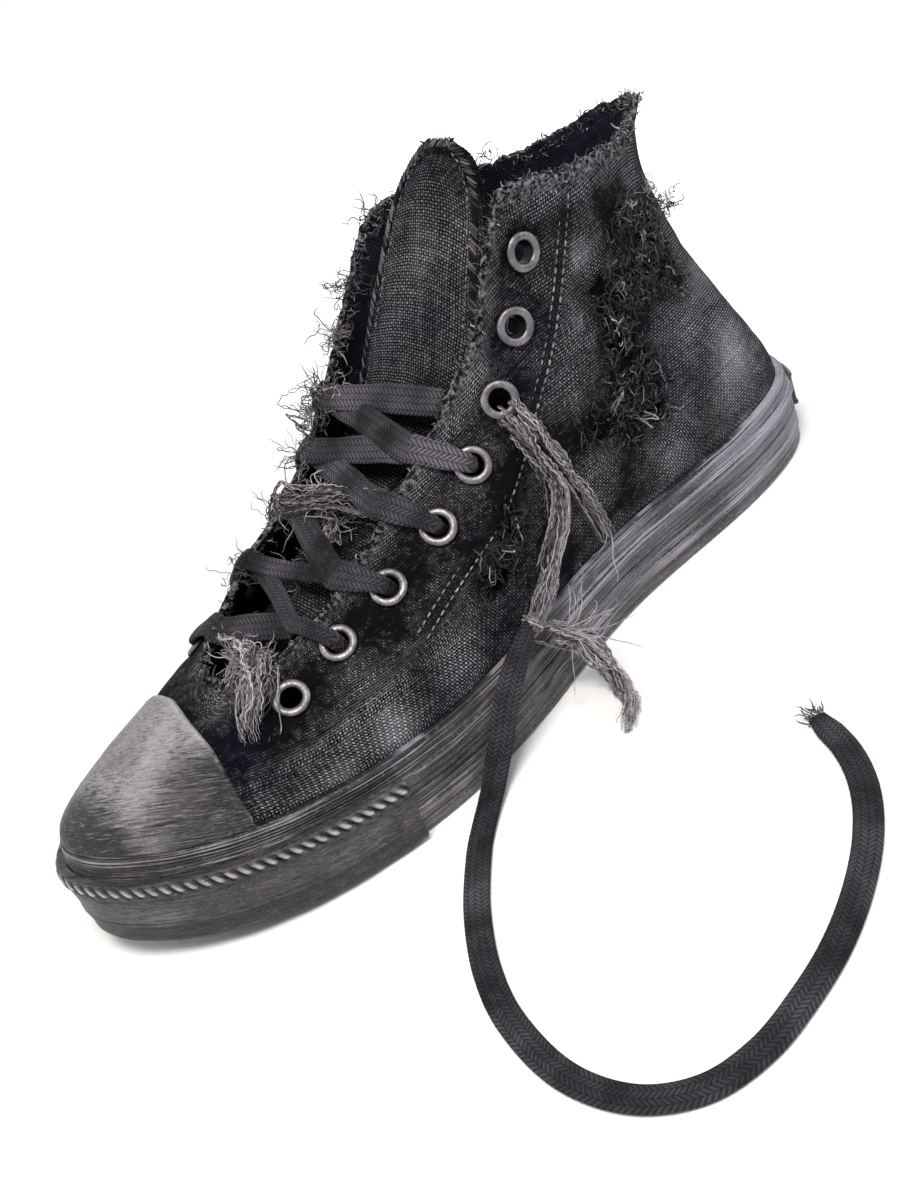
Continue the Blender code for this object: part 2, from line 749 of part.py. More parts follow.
def build_insole(collection):
    """Foot bed on the filler, inside the upper's wall."""
    around = all_columns()
    inset = -(canvas_inset() + WALL + GAP)
    loops = [
        ring(around, inset, lambda x: ground(x) + FILLER_TOP + GAP),
        ring(around, inset, lambda x: ground(x) + FILLER_TOP + GAP + INSOLE_THICK),
    ]
    points = [tuple(p) for loop in loops for p in loop]
    faces = grid_faces(2, COLUMNS, 0, True)
    faces += rib_faces(0, COLUMNS, bottom=True)
    faces += rib_faces(COLUMNS, COLUMNS, bottom=False)
    return new_object("insole", points, faces, "lining", collection)


def build_tongue(collection):
    """Canvas tongue: a curved plate from under the vamp up through the throat to a round top."""
    rows = []
    for x, z, y_out, y_in, skew, crown in TONGUE:
        row = []
        for k in range(TONGUE_ACROSS + 1):
            share = k / TONGUE_ACROSS
            side = 2 * share - 1
            forward = skew * (share - 0.5)
            sink = crown * side**2
            row.append((x + forward - 0.6 * sink, y_out + (y_in - y_out) * share, z - 0.8 * sink))
        rows.append(row)
    grid = np.array(rows)
    for row in grid[:2]:
        for point in row:
            roof = INNER_TREE.ray_cast(Vector((point[0], point[1], 15.0)), Vector((0, 0, 1)))[0]
            if roof:
                point[2] = roof.z - 2 * GAP
    rise = np.gradient(grid, axis=0)
    across = np.gradient(grid, axis=1)
    normal = np.cross(rise, across)
    normal /= np.linalg.norm(normal, axis=2)[:, :, None]
    normal *= np.sign(normal[5, 4, 2])
    under = grid - normal * TONGUE_THICK
    count, columns = grid.shape[:2]
    points = np.concatenate([grid.reshape(-1, 3), under.reshape(-1, 3)])
    faces = grid_faces(count, columns, 0, False)
    faces += grid_faces(count, columns, count * columns, False, flip=True)
    rim = [j for j in range(columns)]
    rim += [i * columns + columns - 1 for i in range(1, count)]
    rim += [(count - 1) * columns + j for j in range(columns - 2, -1, -1)]
    rim += [i * columns for i in range(count - 2, 0, -1)]
    shift = count * columns
    for a, b in zip(rim, rim[1:] + rim[:1]):
        faces.append([a, b, b + shift, a + shift])
    return new_object("tongue", points, faces, "canvas", collection)


def build_heel_strip(collection):
    """Narrow stay up the back seam, from the foxing to the collar."""
    around = np.array([-0.006, 0.0, 0.006])
    grid = upper_grid(around)
    normal = grid_normals_open(grid, around)
    shell = slice(WALL_ROWS, WALL_ROWS + SHELL_ROWS)
    near = (grid + normal * (GAP + 0.15))[shell]
    far = (grid + normal * (GAP + 1.15))[shell]
    for rows in (near, far):
        rows[0, :, 2] = foxing_top(rows[0, :, 0]) + GAP
    loops = [near[:, 0], near[:, 1], near[:, 2], far[:, 2], far[:, 1], far[:, 0]]
    return closed_band("heel_strip", loops, "canvas", collection)


def build_heel_plate(collection):
    """Bare rubber plate at the back of the foxing."""
    around = np.array([-HEEL_PLATE_REACH, -1 / COLUMNS, 0.0, 1 / COLUMNS, HEEL_PLATE_REACH])
    near = GAP + 0.05
    far = near + HEEL_PLATE_THICK
    loops = [
        ring(around, near, foxing_height(HEEL_PLATE_LOW)),
        ring(around, far, foxing_height(HEEL_PLATE_LOW)),
        ring(around, far, foxing_height(HEEL_PLATE_HIGH)),
        ring(around, near, foxing_height(HEEL_PLATE_HIGH)),
    ]
    return closed_band("heel_plate", loops, "side_rubber", collection)


def eyelet_mesh():
    """One metal eyelet: a rolled flange and its barrel, turned about z with z = 0 on the canvas."""
    profile = (
        (EYELET_BORE, -WALL - 0.5),
        (EYELET_BARREL, -WALL - 0.5),
        (EYELET_BARREL, GAP + 0.4),
        (EYELET_OUTER, GAP + 0.4),
        (EYELET_OUTER - 1.1, EYELET_HEIGHT),
        (EYELET_BORE, EYELET_HEIGHT - 0.7),
    )
    points, faces = [], []
    for k in range(EYELET_SIDES):
        angle = 2 * math.pi * k / EYELET_SIDES
        points += [(r * math.cos(angle) * MM, r * math.sin(angle) * MM, z * MM) for r, z in profile]
    steps = len(profile)
    for k in range(EYELET_SIDES):
        for i in range(steps):
            a, b = k * steps + i, k * steps + (i + 1) % steps
            c, d = ((k + 1) % EYELET_SIDES) * steps + (i + 1) % steps, ((k + 1) % EYELET_SIDES) * steps + i
            faces.append([a, d, c, b])
    mesh = bpy.data.meshes.new("eyelet")
    mesh.from_pydata(points, [], faces)
    work = bmesh.new()
    work.from_mesh(mesh)
    bmesh.ops.recalc_face_normals(work, faces=work.faces)
    work.to_mesh(mesh)
    work.free()
    mesh.materials.append(MADE["eyelet_metal"])
    mesh.shade_smooth()
    mesh.set_sharp_from_angle(angle=math.radians(35))
    return mesh


def build_eyelets(collection):
    mesh = eyelet_mesh()
    for side, label, holes in ((1, "lateral", LATERAL_HOLES), (-1, "medial", MEDIAL_HOLES)):
        for number, (x, z) in enumerate(holes, 1):
            point, normal = surface_at(OUTER_TREE, x, z, side)
            ringlet = bpy.data.objects.new(f"eyelet_{label}_{number}", mesh)
            ringlet.matrix_world = Matrix.Translation(to_metres(*point)) @ basis(normal).to_4x4()
            collection.objects.link(ringlet)


def throat_edge(side, x):
    """Point on the throat's edge at station x, on one side."""
    fine = np.linspace(0.235, 0.46, 200) if side > 0 else np.linspace(0.79, 0.56, 200)
    top = upper_grid(fine)[-1]
    return np.array([x, np.interp(x, top[:, 0], top[:, 1]), np.interp(x, top[:, 0], top[:, 2])])


def throat_normal(x):
    """The way out of the throat at station x, square to its slope."""
    slope = throat_edge(1, x + 4.0)[2] - throat_edge(1, x - 4.0)[2]
    slope += throat_edge(-1, x + 4.0)[2] - throat_edge(-1, x - 4.0)[2]
    normal = np.array([-slope / 16.0, 0.0, 1.0])
    return normal / np.linalg.norm(normal)


def smooth_path(keys, per_span):
    """Points along a smooth open curve through keys, Catmull and Rom's."""
    keys = np.array(keys, float)
    padded = np.vstack([2 * keys[0] - keys[1], keys, 2 * keys[-1] - keys[-2]])
    points = []
    for i in range(len(keys) - 1):
        a, b, c, d = padded[i:i + 4]
        for t in np.arange(per_span) / per_span:
            points.append(0.5 * (
                2 * b + (c - a) * t + (2 * a - 5 * b + 4 * c - d) * t**2
                + (3 * b - a - 3 * c + d) * t**3
            ))
    points.append(keys[-1])
    return np.array(points)


def strip_mesh(path, normals, widths):
    """A flat strip along a path: four corners at each point, both ends filled."""
    along = np.gradient(path, axis=0)
    points, faces = [], []
    for centre, step, normal, width in zip(path, along, normals, widths):
        across = np.cross(step, normal)
        across *= width / 2 / np.linalg.norm(across)
        up = np.cross(across, step)
        up *= LACE_THICK / 2 / np.linalg.norm(up)
        points += [centre - across - up, centre + across - up, centre + across + up, centre - across + up]
    for i in range(len(path) - 1):
        for j in range(4):
            k = (j + 1) % 4
            faces.append([4 * i + j, 4 * i + k, 4 * i + 4 + k, 4 * i + 4 + j])
    last = 4 * (len(path) - 1)
    faces += [[3, 2, 1, 0], [last, last + 1, last + 2, last + 3]]
    return points, faces


def build_lace_zigzag(collection, cutters):
    """Every strand across the throat, joined where one meets the next."""
    strips = []
    before = throat_edge(1, LACE_FIRST_END)
    before = before + [0.0, -3.5, 0.0] - throat_normal(LACE_FIRST_END) * LACE_TUCK
    for side, number, x in STRANDS:
        hole = (LATERAL_HOLES if side > 0 else MEDIAL_HOLES)[number - 1]
        seat, out = surface_at(OUTER_TREE, *hole, side)
        out = np.array(out)
        edge = throat_edge(side, x)
        up = throat_normal(x)
        brow = (out + up) / np.linalg.norm(out + up)
        inner = edge + up * (LACE_OVER_EDGE - 0.4) - [0.0, side * 5.0, 0.0]
        keys = [np.array(seat) + out * LACE_OVER_EYELET, edge + brow * LACE_OVER_EDGE, inner, before]
        path = smooth_path(keys, 3)
        share = np.linspace(0, 3, len(path))
        lean = np.array([out, brow, up, throat_normal(before[0])])
        normals = [np.array([np.interp(s, range(4), lean[:, k]) for k in range(3)]) for s in share]
        widths = np.interp(share, [0, 1, 3], [LACE_END_WIDTH, LACE_WIDTH, LACE_WIDTH])
        strips.append(strip_mesh(path, normals, widths))
        before = inner
    zigzag = new_object("lace_zigzag", *strips[0], "lace_cord", collection)
    for number, strip in enumerate(strips[1:], 2):
        other = make_cutter(f"cutter_strand_{number}", *strip, cutters)
        step = zigzag.modifiers.new(f"strand_{number}", "BOOLEAN")
        step.operation = "UNION"
        step.solver = "EXACT"
        step.object = other
    return zigzag


def build_loose_cord(name, radius, keys, collection):
    """A round cord along a smooth curve, its ends filled."""
    path = smooth_path(keys, 3)
    curve = bpy.data.curves.new(name, "CURVE")
    curve.dimensions = "3D"
    curve.bevel_depth = radius * MM
    curve.bevel_resolution = 2
    curve.use_fill_caps = True
    line = curve.splines.new("POLY")
    line.points.add(len(path) - 1)
    for point, place in zip(line.points, path):
        point.co = (*to_metres(*place), 1.0)
    curve.materials.append(MADE["lace_cord"])
    cord = bpy.data.objects.new(name, curve)
    collection.objects.link(cord)
    return cord


def main():
    parts = bpy.data.collections.new(NAME)
    cutters = bpy.data.collections.new("cutters")
    for collection in (parts, cutters):
        bpy.context.scene.collection.children.link(collection)
    build_outsole(parts, cutters)
    build_foxing(parts)
    build_bumper(parts)
    build_upper(parts, cutters)
    build_toe_cap(parts, cutters)
    build_insole(parts)
    build_tongue(parts)
    build_heel_strip(parts)
    build_heel_plate(parts)
    build_eyelets(parts)
    build_lace_zigzag(parts, cutters)
    for name, radius, keys in LOOSE_CORDS:
        build_loose_cord(name, radius, keys, parts)


for old in list(bpy.data.objects):
    bpy.data.objects.remove(old)
MADE = {slot: make_material(slot) for slot in MATERIALS}
OUTER = upper_grid(all_columns())
OUTER_TREE = surface_tree(OUTER)
INNER_TREE = surface_tree(OUTER - grid_normals(OUTER, all_columns()) * WALL)
main()
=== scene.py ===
"""Looks of the worn high-top sneaker: canvas, rubber, laces, stitches, torn cloth and loose threads.

Shoe frame in millimetres, as the solids have it: x runs forward from the back of the heel, y to the
outer side, z up from the floor. world() turns it into metres about the middle of the footprint.
"""

import math
from functools import partial

import bpy
import numpy as np
from mathutils import Matrix, Vector
from mathutils.bvhtree import BVHTree
from numpy.linalg import norm

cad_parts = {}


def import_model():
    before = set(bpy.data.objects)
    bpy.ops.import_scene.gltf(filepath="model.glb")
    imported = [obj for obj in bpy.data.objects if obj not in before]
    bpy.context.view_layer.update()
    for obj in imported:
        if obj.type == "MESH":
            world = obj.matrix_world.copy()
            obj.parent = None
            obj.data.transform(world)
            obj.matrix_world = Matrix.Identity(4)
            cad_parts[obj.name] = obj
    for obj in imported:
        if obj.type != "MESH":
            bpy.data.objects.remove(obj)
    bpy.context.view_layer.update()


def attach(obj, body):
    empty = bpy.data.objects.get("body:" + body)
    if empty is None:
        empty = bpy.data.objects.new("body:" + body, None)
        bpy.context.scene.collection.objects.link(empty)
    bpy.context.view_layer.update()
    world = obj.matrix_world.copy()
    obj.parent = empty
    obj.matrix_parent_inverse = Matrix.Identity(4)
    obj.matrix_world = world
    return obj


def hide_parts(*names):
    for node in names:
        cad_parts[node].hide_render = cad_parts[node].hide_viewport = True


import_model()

MM = 0.001
ORIGIN = np.array([148.95, -2.0, 0.0])
GAP = 0.3
LENGTH = 291.0
SPRING_START = 200.0
TOE_SPRING = 7.0
OUTSOLE_EDGE = 4.6
FOXING_THICK = 3.5
HEEL_LEAN = 2.0
HEEL_LEAN_HEIGHT = 27.0
HEEL_LEAN_REACH = 70.0
WALL = 1.8
FEATHER_Z = 10.4
COLUMNS = 432
WALL_ROWS = 3
SHELL_ROWS = 66

# Outline of the sole from above
OUTLINE = (
    # x,     y
    (5, -1.5), (14, 19), (38, 29.5), (118, 33.1), (190, 46.5), (240, 41.2),
    (274, 24.2), (290.5, -3.5), (275, -25), (248, -41.5), (212, -50),
    (130, -38.6), (38, -33.5), (14, -22.5),
)

# The upper by sections: place round the outline, top edge point, handle down from it, then the
# height and the inward lean of the handle that leaves the foxing
SECTIONS = (
    # around, top x,  top y,  top z, down x, down y, down z, lift, lean
    (0, 36, 0, 128, 19, 0, -30, 20, 6),
    (0.045, 44.5, 7, 125.5, 13, 0, -28, 22, 3),
    (0.095, 58.5, 14, 124, 6.5, 6, -28, 24, -1),
    (0.145, 76, 22, 127.5, 3, 7, -28, 26, -2.5),
    (0.185, 96, 28, 131.5, 4, 5, -30, 28, -3),
    (0.205, 107, 29, 134.5, 4, 4, -30, 28, -3),
    (0.22, 115.5, 28.6, 135, 2, 4, -28, 28, -2.5),
    (0.235, 120, 28, 131, 0, 4, -25, 27, -2),
    (0.26, 128, 26.5, 117, -1, 4, -24, 25, -1.5),
    (0.285, 134.5, 24.8, 104, 0, 5, -22, 22, -1),
    (0.31, 146, 22.3, 93.5, 1, 6, -20, 18, 0),
    (0.335, 160, 19.8, 81.5, 3, 7, -17, 15, 0),
    (0.357, 175, 17.8, 72, 4, 8, -14, 12, 0),
    (0.38, 193, 16.4, 61.5, 5, 8, -11, 10, 0),
    (0.405, 210, 14.6, 55, 7, 7, -8, 9, 0),
    (0.432, 222, 11, 50, 13, 6, -3, 10, 0),
    (0.462, 228, 6.5, 47, 24, 3, -1.5, 7, -0.5),
    (0.498, 230, 0, 45.5, 28, -1, -2, 4.5, 1),
    (0.535, 231, -8, 45.5, 20, -6, -3, 4, 3),
    (0.572, 229, -16, 46.5, 10, -8, -5.5, 4.5, 4),
    (0.602, 219, -19.5, 52.5, 5, -8, -9, 6.5, 3),
    (0.635, 202, -20.5, 62.5, 4, -7, -14, 12, 1),
    (0.665, 182.5, -21.5, 71.5, 3, -6, -16, 16, 0),
    (0.69, 166, -23, 82, 2, -6, -19, 19, 0),
    (0.715, 153.5, -25, 93, 1, -6, -21, 22, -0.5),
    (0.74, 142, -26.5, 104, 0, -5, -22, 25, -1),
    (0.765, 131.5, -27.8, 115.5, -1, -5, -24, 27, -1.5),
    (0.79, 122, -28, 125, -1, -5, -26, 28, -2),
    (0.807, 114.5, -28.5, 128.5, 1, -4, -28, 28, -2.5),
    (0.827, 104, -29, 127.5, 2, -5, -28, 28, -3),
    (0.862, 84, -28.5, 124, 2, -6, -28, 28, -2),
    (0.905, 62, -22, 122.5, 5, -6, -28, 26, 0),
    (0.955, 44.5, -10, 126, 13, 0, -28, 22, 3),
)

# Side of the foxing: share of its height, and how far it stands out
FOXING_STEPS = (
    # height, out
    (0, -0.1), (0.02, 0), (0.15, 0), (0.175, -0.6), (0.215, -0.6), (0.24, 0),
    (0.4, 0.05), (0.415, -0.35), (0.43, 0), (0.61, 0.1), (0.64, 0.25), (0.66, 0.85),
    (0.7, 1), (0.74, 0.85), (0.77, -0.1), (0.79, -0.3), (0.84, -0.45), (0.85, -0.75),
    (0.865, -0.5), (0.94, -0.8), (0.98, -1.2), (1, -1.9),
)
BUMPER_FROM = 0.355
BUMPER_TO = 0.648
BUMPER_STEPS = (
    # height, out
    (0.03, 2.2), (0.06, 2.45), (0.34, 2.9), (0.355, 2.6), (0.37, 2.9), (0.72, 2.9), (0.745, 2.6),
    (0.775, 2.9), (0.8, 3.3), (0.87, 3.5), (0.94, 3.3), (1, 2.5),
)
ROPE_PITCH = 3.3
CAP_EDGE = (
    # y,     x
    (-60, 250), (-44, 246), (-28, 241.5), (-16, 241.5), (0, 245), (18, 248),
    (30, 251), (60, 259),
)
CAP_GAP = 0.4
CAP_THICK = 1.8

# Lace holes from the collar down to the vamp
LATERAL_HOLES = (
    # x,     z
    (116, 118.1), (126, 101.9), (137.8, 86.4), (152.5, 74.7),
    (168.8, 65), (188, 57.5), (206.5, 51.1), (225, 46.4),
)
MEDIAL_HOLES = (
    (113, 112.5), (124, 98.5), (137, 86.5), (151, 76),
    (167, 66.5), (185, 59), (203.5, 51), (222, 43.5),
)
HOLE_RADIUS = 4.0

# Torn holes of the outer side
TEARS = (
    # x,     z,    long, high, turn
    (85.5, 53, 3.4, 3, 15), (92.5, 94.5, 3.2, 5, -28), (108, 59.5, 5.2, 3.6, 20),
    (93, 76, 2.6, 5, -20), (163, 47, 6.2, 3.2, -25), (56, 91, 2.8, 6, -20),
)
# Cloth worn down to loose threads around them
SHREDDED = (
    # x,     z,    long, high, turn
    (64, 97, 8, 13, -25), (78, 92, 10, 7, 10), (90, 89, 8, 10, -20),
    (94, 75, 7, 12, 0), (96, 62, 8, 9, 0), (108, 62, 9, 6.5, 20),
    (86, 52, 8, 6, 0), (97, 52, 6, 6, 0), (163, 48.5, 10, 4.5, -25),
    (152, 56, 5, 5, 0), (74, 107, 9, 5, 10), (60, 84, 5, 8, -20),
    (84, 66, 6, 9, 0),
)

# Soft troughs (deep < 0) and ridges of the worn upper: side, ends of its line, half width, depth
CREASES = (
    # side, x 1,   z 1,   x 2,   z 2, wide, deep
    (1, 200, 44, 214, 33, 5, -0.9),
    (1, 212, 42, 226, 31, 4.5, 0.6),
    (1, 222, 41, 236, 31, 4, -0.7),
    (1, 176, 50, 196, 36, 6, -0.6),
    (1, 128, 60, 150, 46, 7, -0.8),
    (1, 112, 84, 128, 62, 6, 0.6),
    (1, 70, 80, 100, 100, 7, -1),
    (1, 58, 70, 82, 62, 6, -0.8),
    (1, 40, 60, 62, 52, 6, 0.6),
    (1, 62, 112, 84, 104, 5, -0.9),
    (1, 90, 120, 104, 108, 5, 0.5),
    (-1, 200, 42, 216, 32, 5, -0.9),
    (-1, 170, 52, 190, 38, 6, -0.7),
    (-1, 120, 70, 145, 50, 7, -0.9),
    (-1, 70, 84, 104, 96, 7, -1),
    (-1, 54, 66, 80, 58, 6, 0.7),
    (-1, 60, 108, 86, 102, 5, -0.9),
)

# Rubbed places of the canvas: x, y, z, reach, strength
RUBBED = (
    # x,     y,    z,   reach, strength
    (45, 25, 46, 28, 0.85), (40, 20, 72, 20, 0.75), (62, 28, 66, 9, 0.6),
    (98, 30, 108, 11, 0.8), (106, 31, 92, 9, 0.75), (118, 31, 76, 9, 0.45),
    (120, 32, 45, 12, 0.5), (134, 34, 60, 9, 0.6), (116, 30, 110, 9, 0.35),
    (210, 42, 30, 16, 0.8), (228, 40, 29, 14, 0.75), (185, 38, 36, 14, 0.55),
    (205, 35, 40, 12, 0.45), (236, 8, 46, 10, 0.5), (60, 18, 116, 9, 0.6),
    (40, 4, 120, 10, 0.7), (82, 29, 34, 16, 0.7), (38, -20, 60, 22, 0.7),
    (110, -32, 70, 18, 0.5), (200, -42, 36, 20, 0.7), (150, -34, 50, 16, 0.4),
)

TONGUE_THICK = 2.0
TONGUE = (
    # x,     z,    y out, y in, skew, crown
    (238, 41, 8, -14, 0, 0.6),
    (222, 43.5, 11, -16.5, 1, 2),
    (201, 51.5, 17, -22, 2, 5),
    (182, 61, 19, -24, 3.5, 5.5),
    (164, 72, 20, -24.5, 5.5, 5.5),
    (149.5, 84.5, 20, -24.5, 8, 5.5),
    (138, 98.5, 18, -23, 10, 4.5),
    (127.5, 114, 16.5, -21, 9, 3.5),
    (117.5, 129.5, 15.5, -18.5, 7, 3),
    (112.5, 138, 13.5, -14, 4.5, 2.2),
    (109.8, 142.8, 10, -8.5, 2, 1.2),
    (108.4, 145.2, 5, -3, 0.5, 0.4),
)

LACE_WIDTH = 8.4
LACE_OVER_EDGE = 2.3
LACE_TUCK = 2.6
LACE_FIRST_END = 149.0
STRANDS = (
    # side, hole, x at the edge
    (-1, 4, 157), (1, 4, 160), (-1, 5, 169.5), (1, 5, 174.5), (-1, 6, 184),
    (1, 6, 193.5), (-1, 7, 202), (1, 7, 209.5), (-1, 8, 220),
)

# Loose cords, as the solids run
LOOSE_END = (
    (158.9, 41.8, 30), (165, 44.4, 29.3), (173.5, 47.6, 26), (181, 49.4, 20),
    (187.3, 50.3, 11.6), (195, 52, 4.6), (207.8, 60, 2.4), (217.5, 68.6, 2.4),
    (228, 80, 2.4), (238, 94.5, 2.4), (244.5, 110, 2.4), (247, 129, 2.4),
    (242.5, 145, 2.4), (232, 155.5, 2.4), (218, 159.5, 2.4), (203, 159, 2.4),
    (188, 156.5, 2.4), (173, 151.5, 2.4), (159, 144.5, 2.4), (147, 135.5, 2.4),
    (138, 124.5, 2.4), (131.5, 110.5, 2.4),
)
FRAY_TO_KNOT = (
    (141.4, 34.8, 84.6), (138.6, 36.4, 76.8), (135.9, 36.4, 69.8), (133.7, 36.1, 63),
    (132.8, 35.8, 57), (134.6, 35.8, 51), (138.8, 36.3, 44), (145.4, 37.4, 37.2),
    (152.4, 39.2, 32.3), (158.2, 41.2, 30.2),
)
FRAY_SHORT = (
    (137.9, 36.2, 86), (134.8, 36.9, 78.8), (131.7, 36, 71), (129.2, 35.6, 64),
    (126.6, 35, 57), (123.4, 34.2, 48.5), (120.2, 33.2, 38.7), (118.4, 32.6, 31.8),
)
FRAY_SIDE = (
    (158.4, 43.2, 27.4), (153.6, 44.6, 22.6), (149, 46.2, 17.8), (146.4, 48.8, 10.6),
    (146, 52.8, 4.4), (147.6, 57, 1.9), (151.6, 61.6, 1.8), (157, 65.6, 1.8),
)
FRAY_TOE = (
    (220.8, -12, 48.6), (221.8, -5.5, 50.2), (223, 1, 51.2), (224.6, 7.5, 51.9),
    (226.6, 13, 51.8), (229.8, 17, 50.7), (233.6, 20.6, 48.8), (236.8, 24.6, 46.2),
)


# -------------------- shape of the shoe

def world(points):
    return (np.asarray(points, float) - ORIGIN) * MM


def unit(ways):
    """The same directions, each with a length of 1."""
    return ways / (norm(ways, axis=-1, keepdims=True) + 1e-12)


def run_along(path):
    """How far along a path each of its points is."""
    return np.r_[0.0, np.cumsum(norm(np.diff(path, axis=0), axis=1))]


def periodic_spline(knots, values):
    """Smooth closed curve through values at knots; knots holds one more entry, a turn later."""
    knots = np.asarray(knots, float)
    values = np.asarray(values, float)
    count = len(values)
    step = np.diff(knots)
    slope = (np.roll(values, -1, axis=0) - values) / step[:, None]
    matrix = np.zeros((count, count))
    right = np.zeros_like(values)
    for i in range(count):
        before = step[i - 1]
        after = step[i]
        matrix[i, i - 1] += after
        matrix[i, i] += 2 * (before + after)
        matrix[i, (i + 1) % count] += before
        right[i] = 3 * (after * slope[i - 1] + before * slope[i])
    tangent = np.linalg.solve(matrix, right)

    def at(place):
        place = np.atleast_1d(np.asarray(place, float))
        place = knots[0] + (place - knots[0]) % (knots[-1] - knots[0])
        i = np.clip(np.searchsorted(knots, place, side="right") - 1, 0, count - 1)
        j = (i + 1) % count
        h = step[i][:, None]
        t = ((place - knots[i]) / step[i])[:, None]
        return (
            (2 * t**3 - 3 * t**2 + 1) * values[i]
            + (t**3 - 2 * t**2 + t) * h * tangent[i]
            + (3 * t**2 - 2 * t**3) * values[j]
            + (t**3 - t**2) * h * tangent[j]
        )

    return at


def even_outline(samples=4000):
    """The sole's outline as a function of the fraction of its length."""
    points = np.array(OUTLINE)
    closed = np.vstack([points, points[:1]])
    knots = run_along(closed)
    curve = periodic_spline(knots, points)
    fine = curve(np.linspace(0, knots[-1], samples + 1)[:-1])
    fine = np.vstack([fine, fine[:1]])
    run = run_along(fine)
    total = run[-1]
    run /= total

    def at(around):
        around = np.atleast_1d(around) % 1.0
        return np.stack([np.interp(around, run, fine[:, k]) for k in (0, 1)], axis=1)

    return at, total


OUTLINE_AT, PERIMETER = even_outline()
SECTION_ROWS = np.array(SECTIONS)
SECTION_AT = periodic_spline(np.r_[SECTION_ROWS[:, 0], 1.0], SECTION_ROWS[:, 1:])


def outward(around):
    """Unit vector in plan that points out of the sole."""
    small = 0.002
    along = OUTLINE_AT(np.atleast_1d(around) + small) - OUTLINE_AT(np.atleast_1d(around) - small)
    along = unit(along)
    return np.stack([-along[:, 1], along[:, 0]], axis=1)


def ground(x):
    past = np.clip((np.asarray(x) - SPRING_START) / (LENGTH - SPRING_START), 0, None)
    return TOE_SPRING * past**2


def foxing_top(x):
    share = np.asarray(x) / LENGTH
    return 26.9 - 9.0 * share + 11.6 * share**2 + ground(x)


def ridge(x):
    return 19.5 + 3.0 * np.asarray(x) / LENGTH + ground(x)


def ring(around, out, height):
    """Points round the outline, moved out in plan, at a height that is a function of x."""
    around = np.atleast_1d(around)
    plan = OUTLINE_AT(around) + outward(around) * np.reshape(out, (-1, 1))
    z = height(plan[:, 0])
    fade = np.clip(1 - plan[:, 0] / HEEL_LEAN_REACH, 0, 1.1)
    plan[:, 0] += HEEL_LEAN * np.clip(z, 0, HEEL_LEAN_HEIGHT) / HEEL_LEAN_HEIGHT * fade**2
    return np.column_stack([plan, z])


def foxing_height(share):
    low = OUTSOLE_EDGE + GAP
    return lambda x: ground(x) + low + share * (foxing_top(x) - ground(x) - low)


def bumper_height(share):
    return lambda x: ground(x) + 0.5 + share * (ridge(x) - ground(x) - 0.5)


def wall_height(share):
    return lambda x: (1 - share) * (FEATHER_Z + ground(x)) + share * (foxing_top(x) + 2 * GAP)


def shell_point(around, t):
    """Points of the upper above the foxing; t runs from 0 there to 1 on the top edge."""
    section = SECTION_AT(around)
    foot = ring(around, -(FOXING_THICK + GAP), wall_height(1.0))
    low = foot.copy()
    low[:, :2] -= outward(around) * section[:, 7:8]
    low[:, 2] += section[:, 6]
    high = section[:, 0:3] + section[:, 3:6]
    t = np.reshape(t, (-1, 1))
    return (
        (1 - t) ** 3 * foot + 3 * t * (1 - t) ** 2 * low + 3 * t**2 * (1 - t) * high
        + t**3 * section[:, 0:3]
    )


def wobble(points, wavelength, seed, waves=7):
    """Smooth noise, about -1 to 1, at points in millimetres."""
    random = np.random.default_rng(seed)
    points = np.asarray(points, float)
    total = np.zeros(points.shape[:-1])
    for _ in range(waves):
        way = random.normal(size=points.shape[-1])
        way *= 2 * math.pi / wavelength * random.uniform(0.6, 1.5) / norm(way)
        total += np.sin(points @ way + random.uniform(0, 6.28))
    return total / math.sqrt(waves)


def upper_grid(around, rows, ragged):
    """Outer face of the upper: rows x columns x 3, the wall behind the foxing first."""
    inset = -(FOXING_THICK + GAP)
    grid = [ring(around, inset, wall_height(i / WALL_ROWS)) for i in range(WALL_ROWS)]
    edge = SECTION_AT(around)[:, :3]
    short = ragged * 0.5 * (wobble(edge, 7.0, 3) + wobble(edge, 2.6, 4)) / 60.0
    for i in range(rows + 1):
        t = i / rows * (1 - np.abs(short))
        grid.append(shell_point(around, t))
    return np.array(grid)


def grid_normals(grid, around, wrap=True):
    """Outward unit normals of the upper's grid; level in plan where the foxing hugs it."""
    if wrap:
        closed = np.concatenate([grid[:, -1:], grid, grid[:, :1]], axis=1)
        along = closed[:, 2:] - closed[:, :-2]
    else:
        along = np.gradient(grid, axis=1)
    normal = unit(np.cross(np.gradient(grid, axis=0), along))
    level = np.column_stack([outward(around), np.zeros(len(around))])
    normal *= np.sign(np.sum(normal[WALL_ROWS + 2] * level, axis=1).mean())
    return normal


def smooth_path(keys, per_span):
    """Points along a smooth open curve through keys."""
    keys = np.array(keys, float)
    padded = np.vstack([2 * keys[0] - keys[1], keys, 2 * keys[-1] - keys[-2]])
    points = []
    for i in range(len(keys) - 1):
        a, b, c, d = padded[i:i + 4]
        for t in np.arange(per_span) / per_span:
            points.append(0.5 * (
                2 * b + (c - a) * t + (2 * a - 5 * b + 4 * c - d) * t**2
                + (3 * b - a - 3 * c + d) * t**3
            ))
    points.append(keys[-1])
    return np.array(points)


# -------------------- materials

def linear(code):
    """Linear colour of an sRGB hex code."""
    values = [int(code[i:i + 2], 16) / 255 for i in (0, 2, 4)]
    values = [c / 12.92 if c <= 0.04045 else ((c + 0.055) / 1.055) ** 2.4 for c in values]
    return (*values, 1.0)


